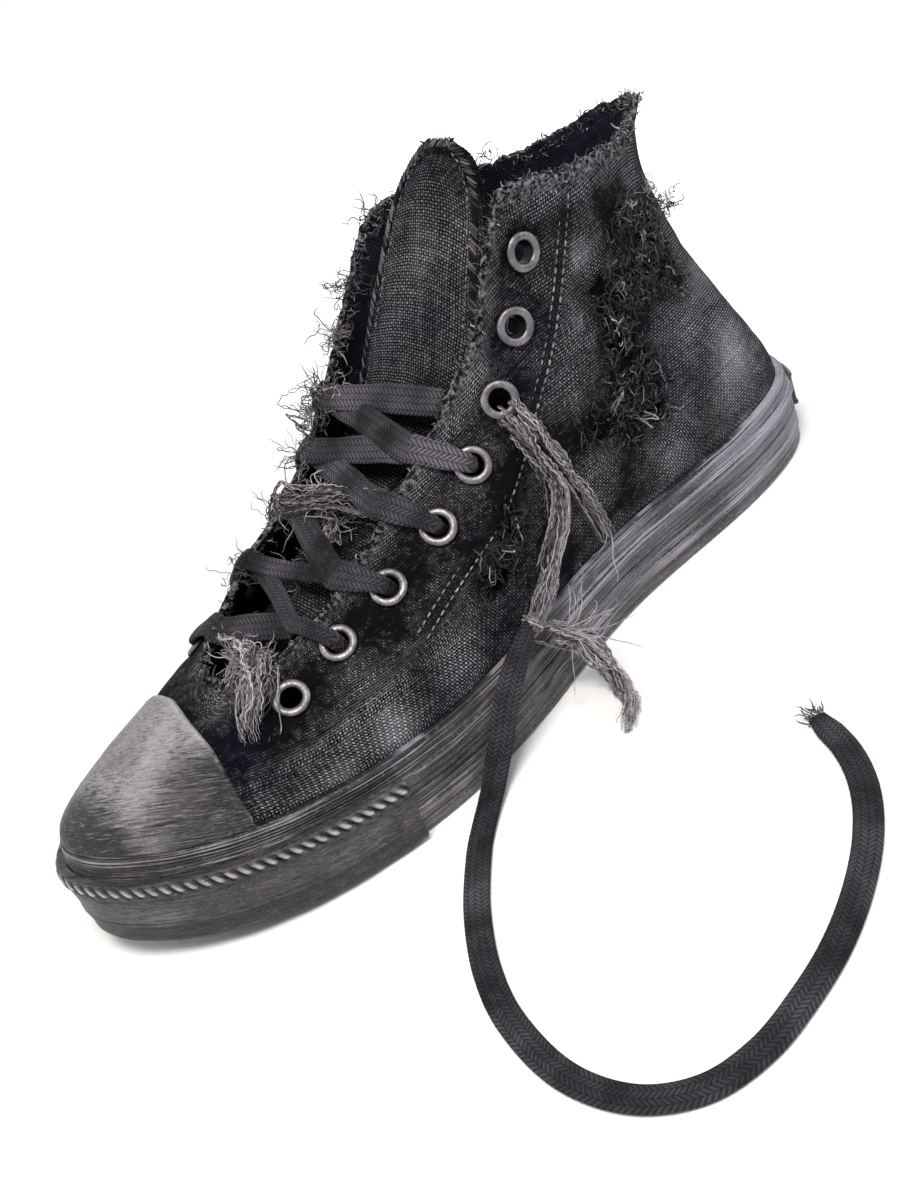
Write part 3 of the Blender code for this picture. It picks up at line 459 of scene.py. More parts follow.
def add_node(tree, kind, *values, out=0, **named):
    """Adds a node and gives one of its outputs, or the node where out is None.

    Values fill its sockets in order, None leaves one alone, and a list links several to one. Names
    in capitals are sockets, and the others are settings. A colour is an sRGB hex code.
    """
    node = tree.nodes.new(kind if "Node" in kind else "ShaderNode" + kind)
    for name, value in named.items():
        if name.islower():
            setattr(node, name, value)
    pairs = [*enumerate(values), *((name.replace("_", " "), value) for name, value in named.items()
                                   if not name.islower())]
    for place, value in pairs:
        socket = node.inputs[place]
        for source in value if isinstance(value, list) else [value]:
            if isinstance(source, bpy.types.NodeSocket):
                tree.links.new(source, socket)
            elif source is not None:
                socket.default_value = linear(source) if socket.type == "RGBA" else source
    return node.outputs[out] if out is not None and node.outputs else node


def new_paint(name):
    """An empty material, and the function that adds a node to it."""
    material = bpy.data.materials.new(name)
    material.use_nodes = True
    material.node_tree.nodes.clear()
    return material, partial(add_node, material.node_tree)


def slanted(add, place, ways, **settings):
    """Noise along three slanting ways, each as long as the marks it has in a metre."""
    turned = [add("VectorMath", place, way, operation="DOT_PRODUCT", out=1) for way in ways]
    return add("TexNoise", add("CombineXYZ", *turned), Scale=1, **settings)


def canvas_paint(name, dark, mid, pale, pitch=0.92, rubbed=1.0):
    """Plain-weave cotton canvas, over-dyed black: the eye gets painted shade in the gaps between threads,
    thread tops rubbed to silver grey where it is worn, bluish patches, a dark seam, a frayed pale rim and
    torn, shaggy cloth.
    """
    # Real duck has its threads about 0.6 mm apart: drawn pitch mm apart, coarser, so that it shows
    material, add = new_paint(name)
    uv = add("UVMap", uv_map="mm")
    place = add("TexCoord", out=3)
    wear, seam, torn, band = (add("Attribute", attribute_name=label, out=2)
                              for label in ("wear", "seam", "torn", "band"))
    bend = add("TexNoise", add("Mapping", uv, Scale=(0.05, 0.05, 1)), Scale=1, Roughness=0.55)
    waves = []
    for axis, sway in ((0, -1.2), (1, 1.2)):
        run = add("Math", add("SeparateXYZ", uv, out=axis), add("MapRange", bend, 0, 1, sway, -sway))
        turn = add("Math", run, math.pi / pitch, operation="MULTIPLY")
        waves.append(add("Math", turn, operation="SINE"))
    cross = add("Math", *waves, operation="MULTIPLY")
    cell = add("Math", cross, operation="ABSOLUTE")
    warp, weft = (add("TexNoise", add("Mapping", uv, Scale=scale), Scale=1, Roughness=0.6)
                  for scale in ((0.9, 0.05, 1), (0.05, 0.9, 1)))
    yarn_tone = add("MapRange", add("Math", warp, weft), 0.5, 1.5, -0.3, 0.3)
    fibre = add("TexNoise", add("Mapping", uv, Scale=(2.4, 2.4, 1)), Scale=1, Roughness=0.75)
    tops = add("Math", cell, add("MapRange", cross, -0.1, 0.1, 0.62),
               add("MapRange", fibre, 0, 1, -0.8, 0.8), operation="MULTIPLY_ADD")
    tops = add("MapRange", add("Math", tops, yarn_tone), 0.25, 1)
    tops = add("MapRange", add("Math", tops, add("MapRange", wear, 0.6, 1, 0, 0.3)), 0, 1)
    cloud = add("TexNoise", place, Scale=55, Detail=4, Roughness=0.6)
    patch = add("TexNoise", place, Scale=22)
    mottle = add("TexNoise", place, Scale=620, Detail=3, Roughness=0.75)
    fluff = add("TexNoise", place, Scale=900, Roughness=0.7)
    scratch = add("TexNoise", add("Mapping", place, Scale=(420, 420, 700)), Scale=1, Detail=3, Roughness=0.7)
    rub = add("Math", wear, 0.85 * rubbed, add("MapRange", cloud, 0.4, 0.66, -0.1, 0.34),
              operation="MULTIPLY_ADD")
    rub = add("MapRange", add("Math", rub, add("MapRange", scratch, 0.3, 0.75, -0.22, 0.26)), 0, 1)
    color = add("MixRGB", add("MapRange", cloud, 0.35, 0.7), dark, mid)
    # Layers in turn: bluish patches, painted shade in the low gaps between threads, rubbed thread tops, the
    # dark seam, torn cloth and the frayed rim
    for amount, strength, tone in (
            (add("MapRange", patch, 0.52, 0.68), 0.5, "15142A"),
            (add("MapRange", cell, 0, 0.55, 1, 0), 0.75, "08070A"),
            (rub, tops, pale),
            (seam, add("MapRange", fibre, 0.35, 0.6, 0.35, 0.8), "0C0B10"),
            (torn, 0.92, add("MixRGB", add("MapRange", fluff, 0.46, 0.7), "08070C", "26242B")),
            (band, 0.85, add("MixRGB", add("MapRange", mottle, 0.46, 0.62), "0C0B0F", "A5A2A9"))):
        color = add("MixRGB", add("Math", amount, strength, operation="MULTIPLY"), color, tone)
    loose = add("Math", torn, 0.9, add("Math", band, 0.8, operation="MULTIPLY"), operation="MULTIPLY_ADD")
    weave = add("Bump", Height=add("Math", cell, 0.7, fibre, operation="MULTIPLY_ADD"), Distance=0.0003)
    shag = add("Bump", Height=add("Math", mottle, loose, operation="MULTIPLY"), Distance=0.0026,
               Normal=weave)
    add("OutputMaterial",
        add("BsdfPrincipled", Base_Color=color, Roughness=0.95, Normal=shag, Specular_IOR_Level=0.06))
    return material


def rubber_paint(name, dark, mid, pale, ribs=0.0, blue=0.0):
    """Black sidewall rubber, scuffed dry: the eye gets fine silver lines that follow the shoe, black cuts
    between them, brown rubs, specks of dust, a faint painted highlight along the ridge and the top edge
    and, with ribs, the shallow moulded ribs that are left, with painted shade in their grooves.
    """
    # Real scratches are 0.1 to 0.2 mm wide: drawn coarser, 0.26 and 0.5 mm, so that they show
    material, add = new_paint(name)
    uv = add("UVMap", uv_map="mm")
    place = add("TexCoord", out=3)
    wear, edge, cool, ribbed = (add("Attribute", attribute_name=label, out=2)
                                for label in ("wear", "edge", "cool", "ribbed"))
    line = add("TexNoise", add("Mapping", uv, Scale=(1 / 60, 1 / 0.5, 1)), Scale=1, Roughness=0.6,
               Distortion=0.1)
    fine = add("TexNoise", add("Mapping", uv, Scale=(1 / 13, 1 / 0.26, 1)), Scale=1, Detail=3,
               Roughness=0.7)
    cloud = add("TexNoise", place, Scale=34, Detail=4, Roughness=0.6)
    broad = add("TexNoise", place, Scale=16)
    grit = add("TexNoise", place, Scale=1000, Roughness=0.7)
    level = add("MapRange", cloud, 0.3, 0.7, -0.09, 0.09)
    # edge adds a faint painted highlight along the ridge and the top edge of the band
    for value, weight in ((line, 0.5), (fine, 0.5), (wear, 0.12), (edge, 0.035)):
        level = add("Math", value, weight, level, operation="MULTIPLY_ADD")
    mask = add("MapRange", level, 0.53, 0.66)
    body = add("Math", wear, 0.9, add("MapRange", cloud, 0.3, 0.7, -0.12, 0.16), operation="MULTIPLY_ADD")
    brown = add("Math", add("MapRange", broad, 0.54, 0.68), add("MapRange", fine, 0.45, 0.65),
                operation="MULTIPLY")
    color = add("MixRGB", add("MapRange", body, 0, 1), dark, mid)
    for amount, strength, tone in (
            (mask, 0.8, pale),
            (brown, 0.5, "6B5850"),
            (cool, blue, "62647A"),
            (add("MapRange", line, 0.48, 0.42), 0.9, "0C0B0F"),
            (add("MapRange", grit, 0.58, 0.68), add("Math", wear, 0.3, 0.15, operation="MULTIPLY_ADD"),
             "C4C2C8")):
        color = add("MixRGB", add("Math", amount, strength, operation="MULTIPLY"), color, tone)
    cuts = add("Math", line, 0.7, add("Math", fine, 0.5, operation="MULTIPLY"), operation="MULTIPLY_ADD")
    normal = add("Bump", Height=cuts, Distance=0.0006)
    if ribs:
        turn = add("Math", add("SeparateXYZ", uv, out=1), 2 * math.pi / ribs, operation="MULTIPLY")
        rib = add("Math", turn, operation="SINE")
        groove = add("Math", add("MapRange", rib, 0.1, -0.9, 0, 0.6), ribbed, operation="MULTIPLY")
        # painted shade: the low parts of the ribs are darkened, worn or not
        color = add("MixRGB", groove, color, "0C0B0E")
        normal = add("Bump", Height=add("Math", rib, ribbed, operation="MULTIPLY"), Distance=0.00025,
                     Normal=normal)
    add("OutputMaterial",
        add("BsdfPrincipled", Base_Color=color, Roughness=add("MapRange", mask, 0, 1, 0.32, 0.6),
            Normal=normal, Specular_IOR_Level=0.42))
    return material


def cap_paint():
    """Toe cap rubber, rubbed to the bone: the eye gets a warm grey crown, black sides, a web of thin
    scratches, light and dark, that run aslant over it, and a painted highlight along its rear rim.
    """
    # The scratches are about 0.4 mm apart, drawn a little coarser than real grit leaves them
    material, add = new_paint("scratched_cap_rubber")
    place = add("TexCoord", out=3)
    wear, edge = (add("Attribute", attribute_name=label, out=2) for label in ("wear", "edge"))
    scratch = slanted(add, place, ((-40, 34, -8), (1100, 880, -2050), (350, 460, 390)), Roughness=0.6,
                      Distortion=0.15)
    hair = slanted(add, place, ((-110, 96, -20), (1050, 820, -1900), (500, 670, 550)), Roughness=0.7)
    cloud = add("TexNoise", place, Scale=46, Detail=4, Roughness=0.62, Distortion=0.4)
    warm = add("TexNoise", place, Scale=60, Detail=3, Roughness=0.6)
    grain = add("TexNoise", place, Scale=1400, Roughness=0.7)
    level = add("MapRange", add("Math", wear, add("MapRange", cloud, 0.34, 0.66, -0.26, 0.2)), 0, 1)
    color = add("MixRGB", level, "151419", "989498")
    for amount, strength, tone in (
            (add("MapRange", warm, 0.5, 0.7), 0.22, "75655F"),
            (add("MapRange", hair, 0.54, 0.64), add("Math", level, 0.4, 0.3, operation="MULTIPLY_ADD"),
             "ABA7A8"),
            (add("MapRange", scratch, 0.47, 0.425), add("MapRange", wear, 0.95, 0.35, 0.35), "111013"),
            (add("MapRange", grain, 0.57, 0.68), add("Math", level, 0.5, operation="MULTIPLY"), "C9C6C6"),
            # painted highlight: a thin pale line along the cap's rear rim
            (edge, add("MapRange", cloud, 0.45, 0.6, 0, 0.7), "C9C5C5")):
        color = add("MixRGB", add("Math", amount, strength, operation="MULTIPLY"), color, tone)
    normal = add("Bump", Height=add("Math", hair, 0.4, scratch, operation="MULTIPLY_ADD"), Distance=0.0009)
    add("OutputMaterial",
        add("BsdfPrincipled", Base_Color=color, Roughness=add("MapRange", level, 0, 1, 0.38, 0.58),
            Normal=normal, Specular_IOR_Level=0.4))
    return material


def bumper_paint():
    """Toe bumper rubber: the eye gets the rope edge with painted highlights on its crowns and painted
    shade in the gaps between them, a scuffed and dusty middle with brown rubs, and a fine moulded lattice
    on the lower third.
    """
    # The lattice is drawn 1.25 mm wide, coarser than the real 0.8 mm or so, so that it shows
    material, add = new_paint("bumper_rubber")
    uv = add("UVMap", uv_map="mm")
    place = add("TexCoord", out=3)
    rope, gap, ribbed = (add("Attribute", attribute_name=label, out=2)
                         for label in ("rope", "gap", "ribbed"))
    u, v = add("SeparateXYZ", uv), add("SeparateXYZ", uv, out=1)
    line = add("TexNoise", add("Mapping", uv, Scale=(1 / 30, 1 / 0.5, 1)), Scale=1, Detail=3,
               Roughness=0.65, Distortion=0.15)
    slant = slanted(add, place, ((-70, 60, -10), (700, 500, -1500), (400, 500, 400)), Roughness=0.7)
    cloud = add("TexNoise", place, Scale=45, Detail=4, Roughness=0.65)
    warm = add("TexNoise", place, Scale=30, Detail=3, Roughness=0.6)
    grit = add("TexNoise", place, Scale=1100, Roughness=0.7)
    level = add("MapRange", cloud, 0.3, 0.7, -0.08, 0.1)
    for value, weight in ((line, 0.6), (slant, 0.4)):
        level = add("Math", value, weight, level, operation="MULTIPLY_ADD")
    lattice = ribbed
    for operation in ("ADD", "SUBTRACT"):
        run = add("Math", u, v, operation=operation)
        turn = add("Math", run, 2 * math.pi / 1.25, operation="MULTIPLY")
        lattice = add("Math", lattice, add("Math", turn, operation="SINE"), operation="MULTIPLY")
    color = add("MixRGB", add("MapRange", cloud, 0.32, 0.7), "1B1A1F", "4C494F")
    for amount, strength, tone in (
            (add("MapRange", warm, 0.5, 0.7), 0.4, "5C504B"),
            (add("MapRange", level, 0.5, 0.7), 0.6, "85828A"),
            (add("MapRange", slant, 0.45, 0.38), 0.8, "0E0D11"),
            (add("MapRange", grit, 0.56, 0.68), 0.16, "B0ADB2"),
            # painted shade in the low gaps between the rope ribs
            (gap, 1, "070608"),
            # painted highlight on the crowns of the rope edge
            (add("MapRange", rope, 0.3, 0.75), add("MapRange", cloud, 0.3, 0.6, 0.5), "C2BFC5"),
            (add("MapRange", lattice, -0.05, 0.7), 0.7, "0C0B0E")):
        color = add("MixRGB", add("Math", amount, strength, operation="MULTIPLY"), color, tone)
    normal = add("Bump", Height=lattice, Distance=0.0005)
    normal = add("Bump", Height=add("Math", slant, 0.6, line, operation="MULTIPLY_ADD"), Distance=0.0006,
                 Normal=normal)
    add("OutputMaterial",
        add("BsdfPrincipled", Base_Color=color, Roughness=add("MapRange", level, 0.4, 0.7, 0.36, 0.58),
            Normal=normal, Specular_IOR_Level=0.38))
    return material


def braid_paint(name, dark, mid, pale, pitch, column=3.9):
    """Flat plaited cotton lace: the eye gets rows of small chevrons, with painted shade in their troughs and
    in dark lines between the columns, rubbed pale and fuzzy where the lace is worn.
    """
    # Real chevrons are about 1 mm: drawn coarser, pitch mm along and column mm across
    material, add = new_paint(name)
    uv = add("UVMap", uv_map="mm")
    place = add("TexCoord", out=3)
    u, v = add("Math", add("SeparateXYZ", uv), 40), add("SeparateXYZ", uv, out=1)
    fold = add("Math", u, column / 2, operation="PINGPONG")
    turn = add("Math", add("Math", fold, 0.9, v, operation="MULTIPLY_ADD"), 2 * math.pi / pitch,
               operation="MULTIPLY")
    chevron = add("Math", turn, operation="SINE")
    rim = add("Math", add("Math", u, 2 * math.pi / column, operation="MULTIPLY"), operation="SINE")
    rim = add("MapRange", add("Math", rim, operation="ABSOLUTE"), 0, 0.5, 0.35)
    plait = add("Math", add("MapRange", chevron, -1, 1, 0.2, 0.9), rim, operation="MULTIPLY")
    fibre = add("TexNoise", add("Mapping", place, Scale=(2200, 2200, 2200)), Scale=1, Detail=3,
                Roughness=0.7)
    cloud = add("TexNoise", place, Scale=130, Detail=3, Roughness=0.6)
    level = add("Math", add("Attribute", attribute_name="wear", out=2),
                add("MapRange", cloud, 0.42, 0.75, 0, 0.35))
    rub = add("Math", level, add("MapRange", add("Math", plait, fibre), 0.45, 1.35), operation="MULTIPLY")
    # painted shade: dark in the plait's troughs and between its columns, mid on its raised parts
    color = add("MixRGB", add("MapRange", rub, 0, 1), add("MixRGB", plait, dark, mid), pale)
    normal = add("Bump", Height=add("Math", fibre, 0.5, plait, operation="MULTIPLY_ADD"), Distance=0.0006)
    add("OutputMaterial",
        add("BsdfPrincipled", Base_Color=color, Roughness=0.88, Normal=normal, Specular_IOR_Level=0.15,
            Sheen_Weight=0.02))
    return material


def thread_paint(name, dark, pale):
    """Loose cotton threads: the eye gets single fibres, each dark or pale by its own tint and flecked."""
    # Single cotton fibres are 0.02 mm thick: drawn coarser, as threads of 0.2 to 0.5 mm
    material, add = new_paint(name)
    place = add("TexCoord", out=3)
    tint = add("Attribute", attribute_name="tint", out=2)
    fleck = add("MapRange", add("TexNoise", place, Scale=700, Roughness=0.6), 0.35, 0.7, 0.55, 1.3)
    color = add("MixRGB", add("MapRange", add("Math", tint, fleck, operation="MULTIPLY"), 0, 1),
        dark, pale)
    fibre = add("TexNoise", add("Mapping", place, Scale=(4000, 4000, 4000)), Scale=1,
        Roughness=0.7)
    normal = add("Bump", Height=fibre, Distance=0.0002)
    add("OutputMaterial",
        add("BsdfPrincipled", Base_Color=color, Roughness=0.9, Normal=normal, Specular_IOR_Level=0.15,
            Sheen_Weight=0.03))
    return material


def metal_paint():
    """Eyelets of gunmetal-plated brass: the eye gets a dark satin ring, rubbed bright on its crown."""
    material, add = new_paint("gunmetal_eyelet")
    place = add("TexCoord", out=3)
    cloud = add("TexNoise", place, Scale=260, Detail=3, Roughness=0.6)
    grit = add("TexNoise", place, Scale=1500, Detail=3, Roughness=0.7)
    crown = add("Attribute", attribute_name="wear", out=2)
    level = add("Math", crown, add("MapRange", cloud, 0.3, 0.6, 0.35), operation="MULTIPLY")
    color = add("MixRGB", level, "29272B", "827E82")
    color = add("MixRGB", add("Math", add("MapRange", grit, 0.54, 0.7), 0.6, operation="MULTIPLY"),
        color, "2A282B")
    normal = add("Bump", Height=grit, Distance=8e-05)
    add("OutputMaterial",
        add("BsdfPrincipled", Base_Color=color, Roughness=add("MapRange", grit, 0.3, 0.7, 0.32, 0.52),
            Normal=normal, Metallic=1))
    return material


def lining_paint(name, dark, mid):
    """Navy cotton twill lining: the eye gets a fine slanting rib under patches of grey lint."""
    # Real twill ribs are about 0.8 mm apart: drawn coarser, 1.3 mm
    material, add = new_paint(name)
    uv = add("UVMap", uv_map="mm")
    place = add("TexCoord", out=3)
    twill = add("Math",
        add("Math", add("Math", add("SeparateXYZ", uv), add("SeparateXYZ", uv, out=1)),
            2 * math.pi / 1.3, operation="MULTIPLY"), operation="SINE")
    cloud = add("TexNoise", place, Scale=70, Detail=4, Roughness=0.65)
    lint = add("TexNoise", place, Scale=420, Detail=3, Roughness=0.7)
    color = add("MixRGB", add("MapRange", cloud, 0.35, 0.7), dark, mid)
    grey = add("Math", add("MapRange", cloud, 0.5, 0.75, 0.1, 0.75), add("MapRange", lint, 0.46, 0.7),
        operation="MULTIPLY", use_clamp=True)
    color = add("MixRGB", grey, color, "5D5B6B")
    normal = add("Bump", Height=add("Math", twill, lint), Distance=0.00025)
    add("OutputMaterial",
        add("BsdfPrincipled", Base_Color=color, Roughness=0.95, Normal=normal, Specular_IOR_Level=0.15,
            Sheen_Weight=0.02))
    return material


# -------------------- mesh helpers

def piece(name, points, faces, materials, slot, uv, attributes=None, *, sharp):
    """A mesh object that rides on the shoe. Points are in the shoe frame, uv in millimetres."""
    mesh = bpy.data.meshes.new(name)
    mesh.from_pydata(world(points).reshape(-1, 3).tolist(), [], [list(map(int, f)) for f in faces])
    for material in materials:
        mesh.materials.append(material)
    layer = mesh.uv_layers.new(name="mm")
    corners = np.empty(len(mesh.loops), np.int32)
    mesh.loops.foreach_get("vertex_index", corners)
    layer.data.foreach_set("uv", np.asarray(uv, np.float32).reshape(-1, 2)[corners].ravel())
    for key, values in (attributes or {}).items():
        layer = mesh.attributes.new(key, "FLOAT", "POINT")
        layer.data.foreach_set("value", np.asarray(values, np.float32).ravel())
    mesh.shade_smooth()
    if sharp:
        mesh.set_sharp_from_angle(angle=math.radians(sharp))
    item = bpy.data.objects.new(name, mesh)
    bpy.context.scene.collection.objects.link(item)
    if slot:
        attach(item, "root")
    return item


def grid_faces(rows, columns, wrap, flip=False, start=0):
    i = np.arange(rows - 1)[:, None]
    j = np.arange(columns if wrap else columns - 1)[None, :]
    k = (j + 1) % columns
    quads = np.stack([i * columns + j, i * columns + k, (i + 1) * columns + k,
                      (i + 1) * columns + j], axis=2).reshape(-1, 4) + start
    return quads[:, ::-1] if flip else quads


def sleeve_faces(rows, columns):
    """Faces of a grid whose last row is its first again, with its two open ends closed."""
    first = np.arange(rows - 1) * columns
    return [*grid_faces(rows, columns, False), first, first[::-1] + columns - 1]


def grid_uv(grid):
    """Millimetres along the rows and up the columns of a grid."""
    along = np.cumsum(norm(np.diff(grid, axis=1), axis=2), axis=1)
    up = np.cumsum(norm(np.diff(grid, axis=0), axis=2), axis=0)
    return np.stack([np.pad(along, ((0, 0), (1, 0))), np.pad(up, ((1, 0), (0, 0)))], axis=2)


def apply_modifiers(item):
    graph = bpy.context.evaluated_depsgraph_get()
    mesh = bpy.data.meshes.new_from_object(item.evaluated_get(graph), depsgraph=graph)
    item.modifiers.clear()
    item.data = mesh


def new_tree(name, sizes):
    """An empty Geometry Nodes tree with named sizes, and the function that adds a node to it."""
    tree = bpy.data.node_groups.new(name, "GeometryNodeTree")
    tree.interface.new_socket("Geometry", in_out="INPUT", socket_type="NodeSocketGeometry")
    for label in sizes:
        tree.interface.new_socket(label, in_out="INPUT", socket_type="NodeSocketFloat")
    tree.interface.new_socket("Geometry", in_out="OUTPUT", socket_type="NodeSocketGeometry")
    return tree, partial(add_node, tree)


def finish_tree(tree, add, geometry, material):
    """The end of every tree: real, smooth geometry in its material."""
    real = add("GeometryNodeRealizeInstances", Geometry=geometry)
    smooth = add("GeometryNodeSetShadeSmooth", real)
    painted = add("GeometryNodeSetMaterial", Geometry=smooth, Material=material)
    add("NodeGroupOutput", Geometry=painted)
    return tree


def grown(name, tree, sizes, points, edges, vectors=None, numbers=None):
    """Runs a tree on loose points and edges, and keeps the result as a plain mesh on the shoe."""
    mesh = bpy.data.meshes.new(name)
    mesh.from_pydata(world(points).tolist(), edges, [])
    for key, values in (vectors or {}).items():
        mesh.attributes.new(key, "FLOAT_VECTOR", "POINT").data.foreach_set(
            "vector", np.asarray(values, np.float32).ravel())
    for key, values in (numbers or {}).items():
        mesh.attributes.new(key, "FLOAT", "POINT").data.foreach_set(
            "value", np.asarray(values, np.float32).ravel())
    item = bpy.data.objects.new(name, mesh)
    bpy.context.scene.collection.objects.link(item)
    step = item.modifiers.new(name, "NODES")
    step.node_group = tree
    for socket in tree.interface.items_tree:
        if socket.in_out == "INPUT" and socket.name in sizes:
            step[socket.identifier] = float(sizes[socket.name])
    apply_modifiers(item)
    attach(item, "root")
    return item


def thread_tree(material):
    """Geometry Nodes: a thin tube along every line, as thick as its points say."""
    tree, add = new_tree("thread_tubes", ("Thickness", "Sides"))
    source = add("NodeGroupInput", out=None).outputs
    curve = add("GeometryNodeMeshToCurve", Mesh=source["Geometry"])
    thin = add("GeometryNodeInputNamedAttribute", Name="thin", data_type="FLOAT")
    radius = add("Math", thin, source["Thickness"], operation="MULTIPLY")
    ring = add("GeometryNodeCurvePrimitiveCircle", Resolution=source["Sides"], Radius=1)
    tubes = add("GeometryNodeCurveToMesh", Curve=curve, Profile_Curve=ring, Scale=radius,
        Fill_Caps=True)
    return finish_tree(tree, add, tubes, material)


def thread_piece(name, lines, radii, tint, material):
    """Loose threads: lines is N x K x 3, with a radius and a tint for each."""
    lines = np.asarray(lines, float)
    count, steps = lines.shape[:2]
    start = np.arange(count)[:, None] * steps + np.arange(steps - 1)[None, :]
    edges = np.stack([start, start + 1], axis=2).reshape(-1, 2).tolist()
    thin = np.reshape(radii, (-1, 1)) * np.interp(np.linspace(0, 1, steps), [0, 0.08, 0.75, 1],
                                                  [0.7, 1, 1, 0.35])[None, :]
    tints = np.repeat(np.asarray(tint, float)[:, None], steps, 1)
    return grown(name, thread_tree(material), {"Thickness": MM, "Sides": 3},
                 lines.reshape(-1, 3), edges, numbers={"thin": thin, "tint": tints})


def even_steps(path, count):
    """The path again, at count points an equal way apart."""
    run = run_along(path)
    at = np.linspace(0, run[-1], count)
    return np.stack([np.interp(at, run, path[:, k]) for k in range(3)], axis=1)


def curly(starts, ways, lengths, steps, curl, seed, droop=0.0):
    """Lines that set out along ways and wander; N x steps x 3."""
    random = np.random.default_rng(seed)
    starts = np.asarray(starts, float)
    way = unit(np.array(ways, float))
    stride = np.reshape(lengths, (-1, 1)) / (steps - 1)
    line = [starts]
    turn = random.normal(size=way.shape)
    for _ in range(steps - 1):
        turn = 0.6 * turn + 0.8 * random.normal(size=way.shape)
        way = way + turn * curl
        way[:, 2] -= droop
        way = unit(way)
        line.append(line[-1] + way * stride)
    lines = np.stack(line, axis=1)
    lines[:, :, 2] = np.maximum(lines[:, :, 2], 0.3)
    return lines


def crimped(lines, pitch, depth, seed, step=0.7):
    """Threads that keep the kinks of the plait they came from."""
    random = np.random.default_rng(seed)
    longest = norm(np.diff(lines, axis=1), axis=2).sum(axis=1).max()
    count = int(longest / step) + 2
    made = np.array([even_steps(line, count) for line in lines])
    along = unit(np.gradient(made, axis=1))
    side = unit(np.cross(along, random.normal(size=(len(lines), 1, 3))))
    other = np.cross(along, side)
    run = np.arange(count) * step
    beat = 2 * math.pi / (pitch * random.uniform(0.75, 1.3, (len(lines), 1)))
    phase = random.uniform(0, 6.28, (2, len(lines), 1))
    sway = depth * random.uniform(0.5, 1.3, (len(lines), 1))
    return made + side * (sway * np.sin(run * beat + phase[0]))[..., None] \
        + other * (0.7 * sway * np.sin(run * beat * 0.8 + phase[1]))[..., None]


def bundle(path, count, steps, spread, seed, wave, splay):
    """Threads that run along a path together, each with its own wander; N x steps x 3."""
    random = np.random.default_rng(seed)
    path = np.asarray(path, float)
    run = run_along(path)
    run /= run[-1]
    lines = []
    for _ in range(count):
        first = random.choice((0.0, 0.0, 0.03, 0.1))
        last = 1.0 - random.choice((0.0, 0.0, 0.0, 0.03, 0.1, 0.25))
        at = np.linspace(first, max(last, first + 0.2), steps)
        base = np.stack([np.interp(at, run, path[:, k]) for k in range(3)], axis=1)
        off = random.normal(size=3) * spread * 0.6
        drift = random.normal(size=3) * splay
        ripple = np.zeros((steps, 3))
        for beat in (1.0, 2.3, 4.1):
            phase = random.uniform(0, 6.28, 3)
            ripple += random.normal(size=3) * wave / beat * np.sin(at[:, None] * 6.28 * beat + phase)
        line = base + off + drift * at[:, None] ** 2 + ripple
        line[:, 2] = np.maximum(line[:, 2], 0.35)
        lines.append(line)
    return np.array(lines)


def yarns(path, count, each, spread, seed, wave, splay):
    """Threads of a plait come apart: they keep together in yarns, each with its own kinks."""
    random = np.random.default_rng(seed + 1000)
    cores = bundle(path, count, 24, spread, seed, wave, splay)
    lines = np.repeat(cores, each, axis=0)
    steps = np.linspace(0, 1, lines.shape[1])[None, :, None]
    fan = 0.6 + 1.6 * np.abs(steps - 0.25)
    lines = lines + random.normal(size=(len(lines), 1, 3)) * 0.42 * fan
    return crimped(lines, 4.2, 0.26, seed)


def strip(path, normals, widths, thick, ring_points=14):
    """A flat strip with rounded edges along a path: points, faces, uv (across, along)."""
    path = np.asarray(path, float)
    along = unit(np.gradient(path, axis=0))
    across = unit(np.cross(along, normals))
    up = np.cross(across, along)
    angle = 2 * math.pi * np.arange(ring_points) / ring_points
    flat = np.sign(np.cos(angle)) * np.abs(np.cos(angle)) ** 0.75
    tall = np.sign(np.sin(angle)) * np.abs(np.sin(angle)) ** 0.8
    widths = np.broadcast_to(widths, (len(path),))
    thick = np.broadcast_to(thick, (len(path),))
    points = (
        path[:, None] + across[:, None] * flat[None, :, None] * widths[:, None, None] / 2
        + up[:, None] * tall[None, :, None] * thick[:, None, None] / 2
    )
    run = run_along(path)
    uv = np.stack([flat[None, :] * widths[:, None] / 2, np.repeat(run[:, None], ring_points, 1)], axis=2)
    first = np.arange(ring_points)
    last = (len(path) - 1) * ring_points + first
    faces = [*grid_faces(len(path), ring_points, True), first[::-1], last]
    return points.reshape(-1, 3), faces, uv.reshape(-1, 2)


def join(parts):
    """Several (points, faces, uv) as one."""
    points, faces, uv, start = [], [], [], 0
    for some_points, some_faces, some_uv in parts:
        points.append(some_points)
        faces += [[start + int(k) for k in face] for face in some_faces]
        uv.append(some_uv)
        start += len(some_points)
    return np.vstack(points), faces, np.vstack(uv)


# -------------------- camera, light and floor

AIM_LEFT = 0.1045
AIM_DOWN = 0.0172


def make_camera():
    """Looks at the outer side of the toe from above, rolled as the shoe leans in its view."""
    camera = bpy.data.objects.new("camera", bpy.data.cameras.new("camera"))
    bpy.context.scene.collection.objects.link(camera)
    right = Vector((-0.6659, 0.6994, -0.2596))
    down = Vector((0.5592, 0.2376, -0.7943))
    ahead = Vector((-0.4938, -0.6741, -0.5493))
    aim = (ahead - AIM_LEFT * right + AIM_DOWN * down).normalized()
    turn = ahead.rotation_difference(aim)
    right, down, ahead = turn @ right, turn @ down, turn @ ahead
    axes = Matrix((right, -down, -ahead)).transposed().to_4x4()
    eye = Vector(world((322.2, 295.3, 235.9)))
    camera.matrix_world = Matrix.Translation(eye) @ axes
    camera.data.lens = 39.6
    camera.data.sensor_width = 36.0
    camera.data.clip_start = 0.001
    camera.data.clip_end = 20.0
    bpy.context.scene.camera = camera


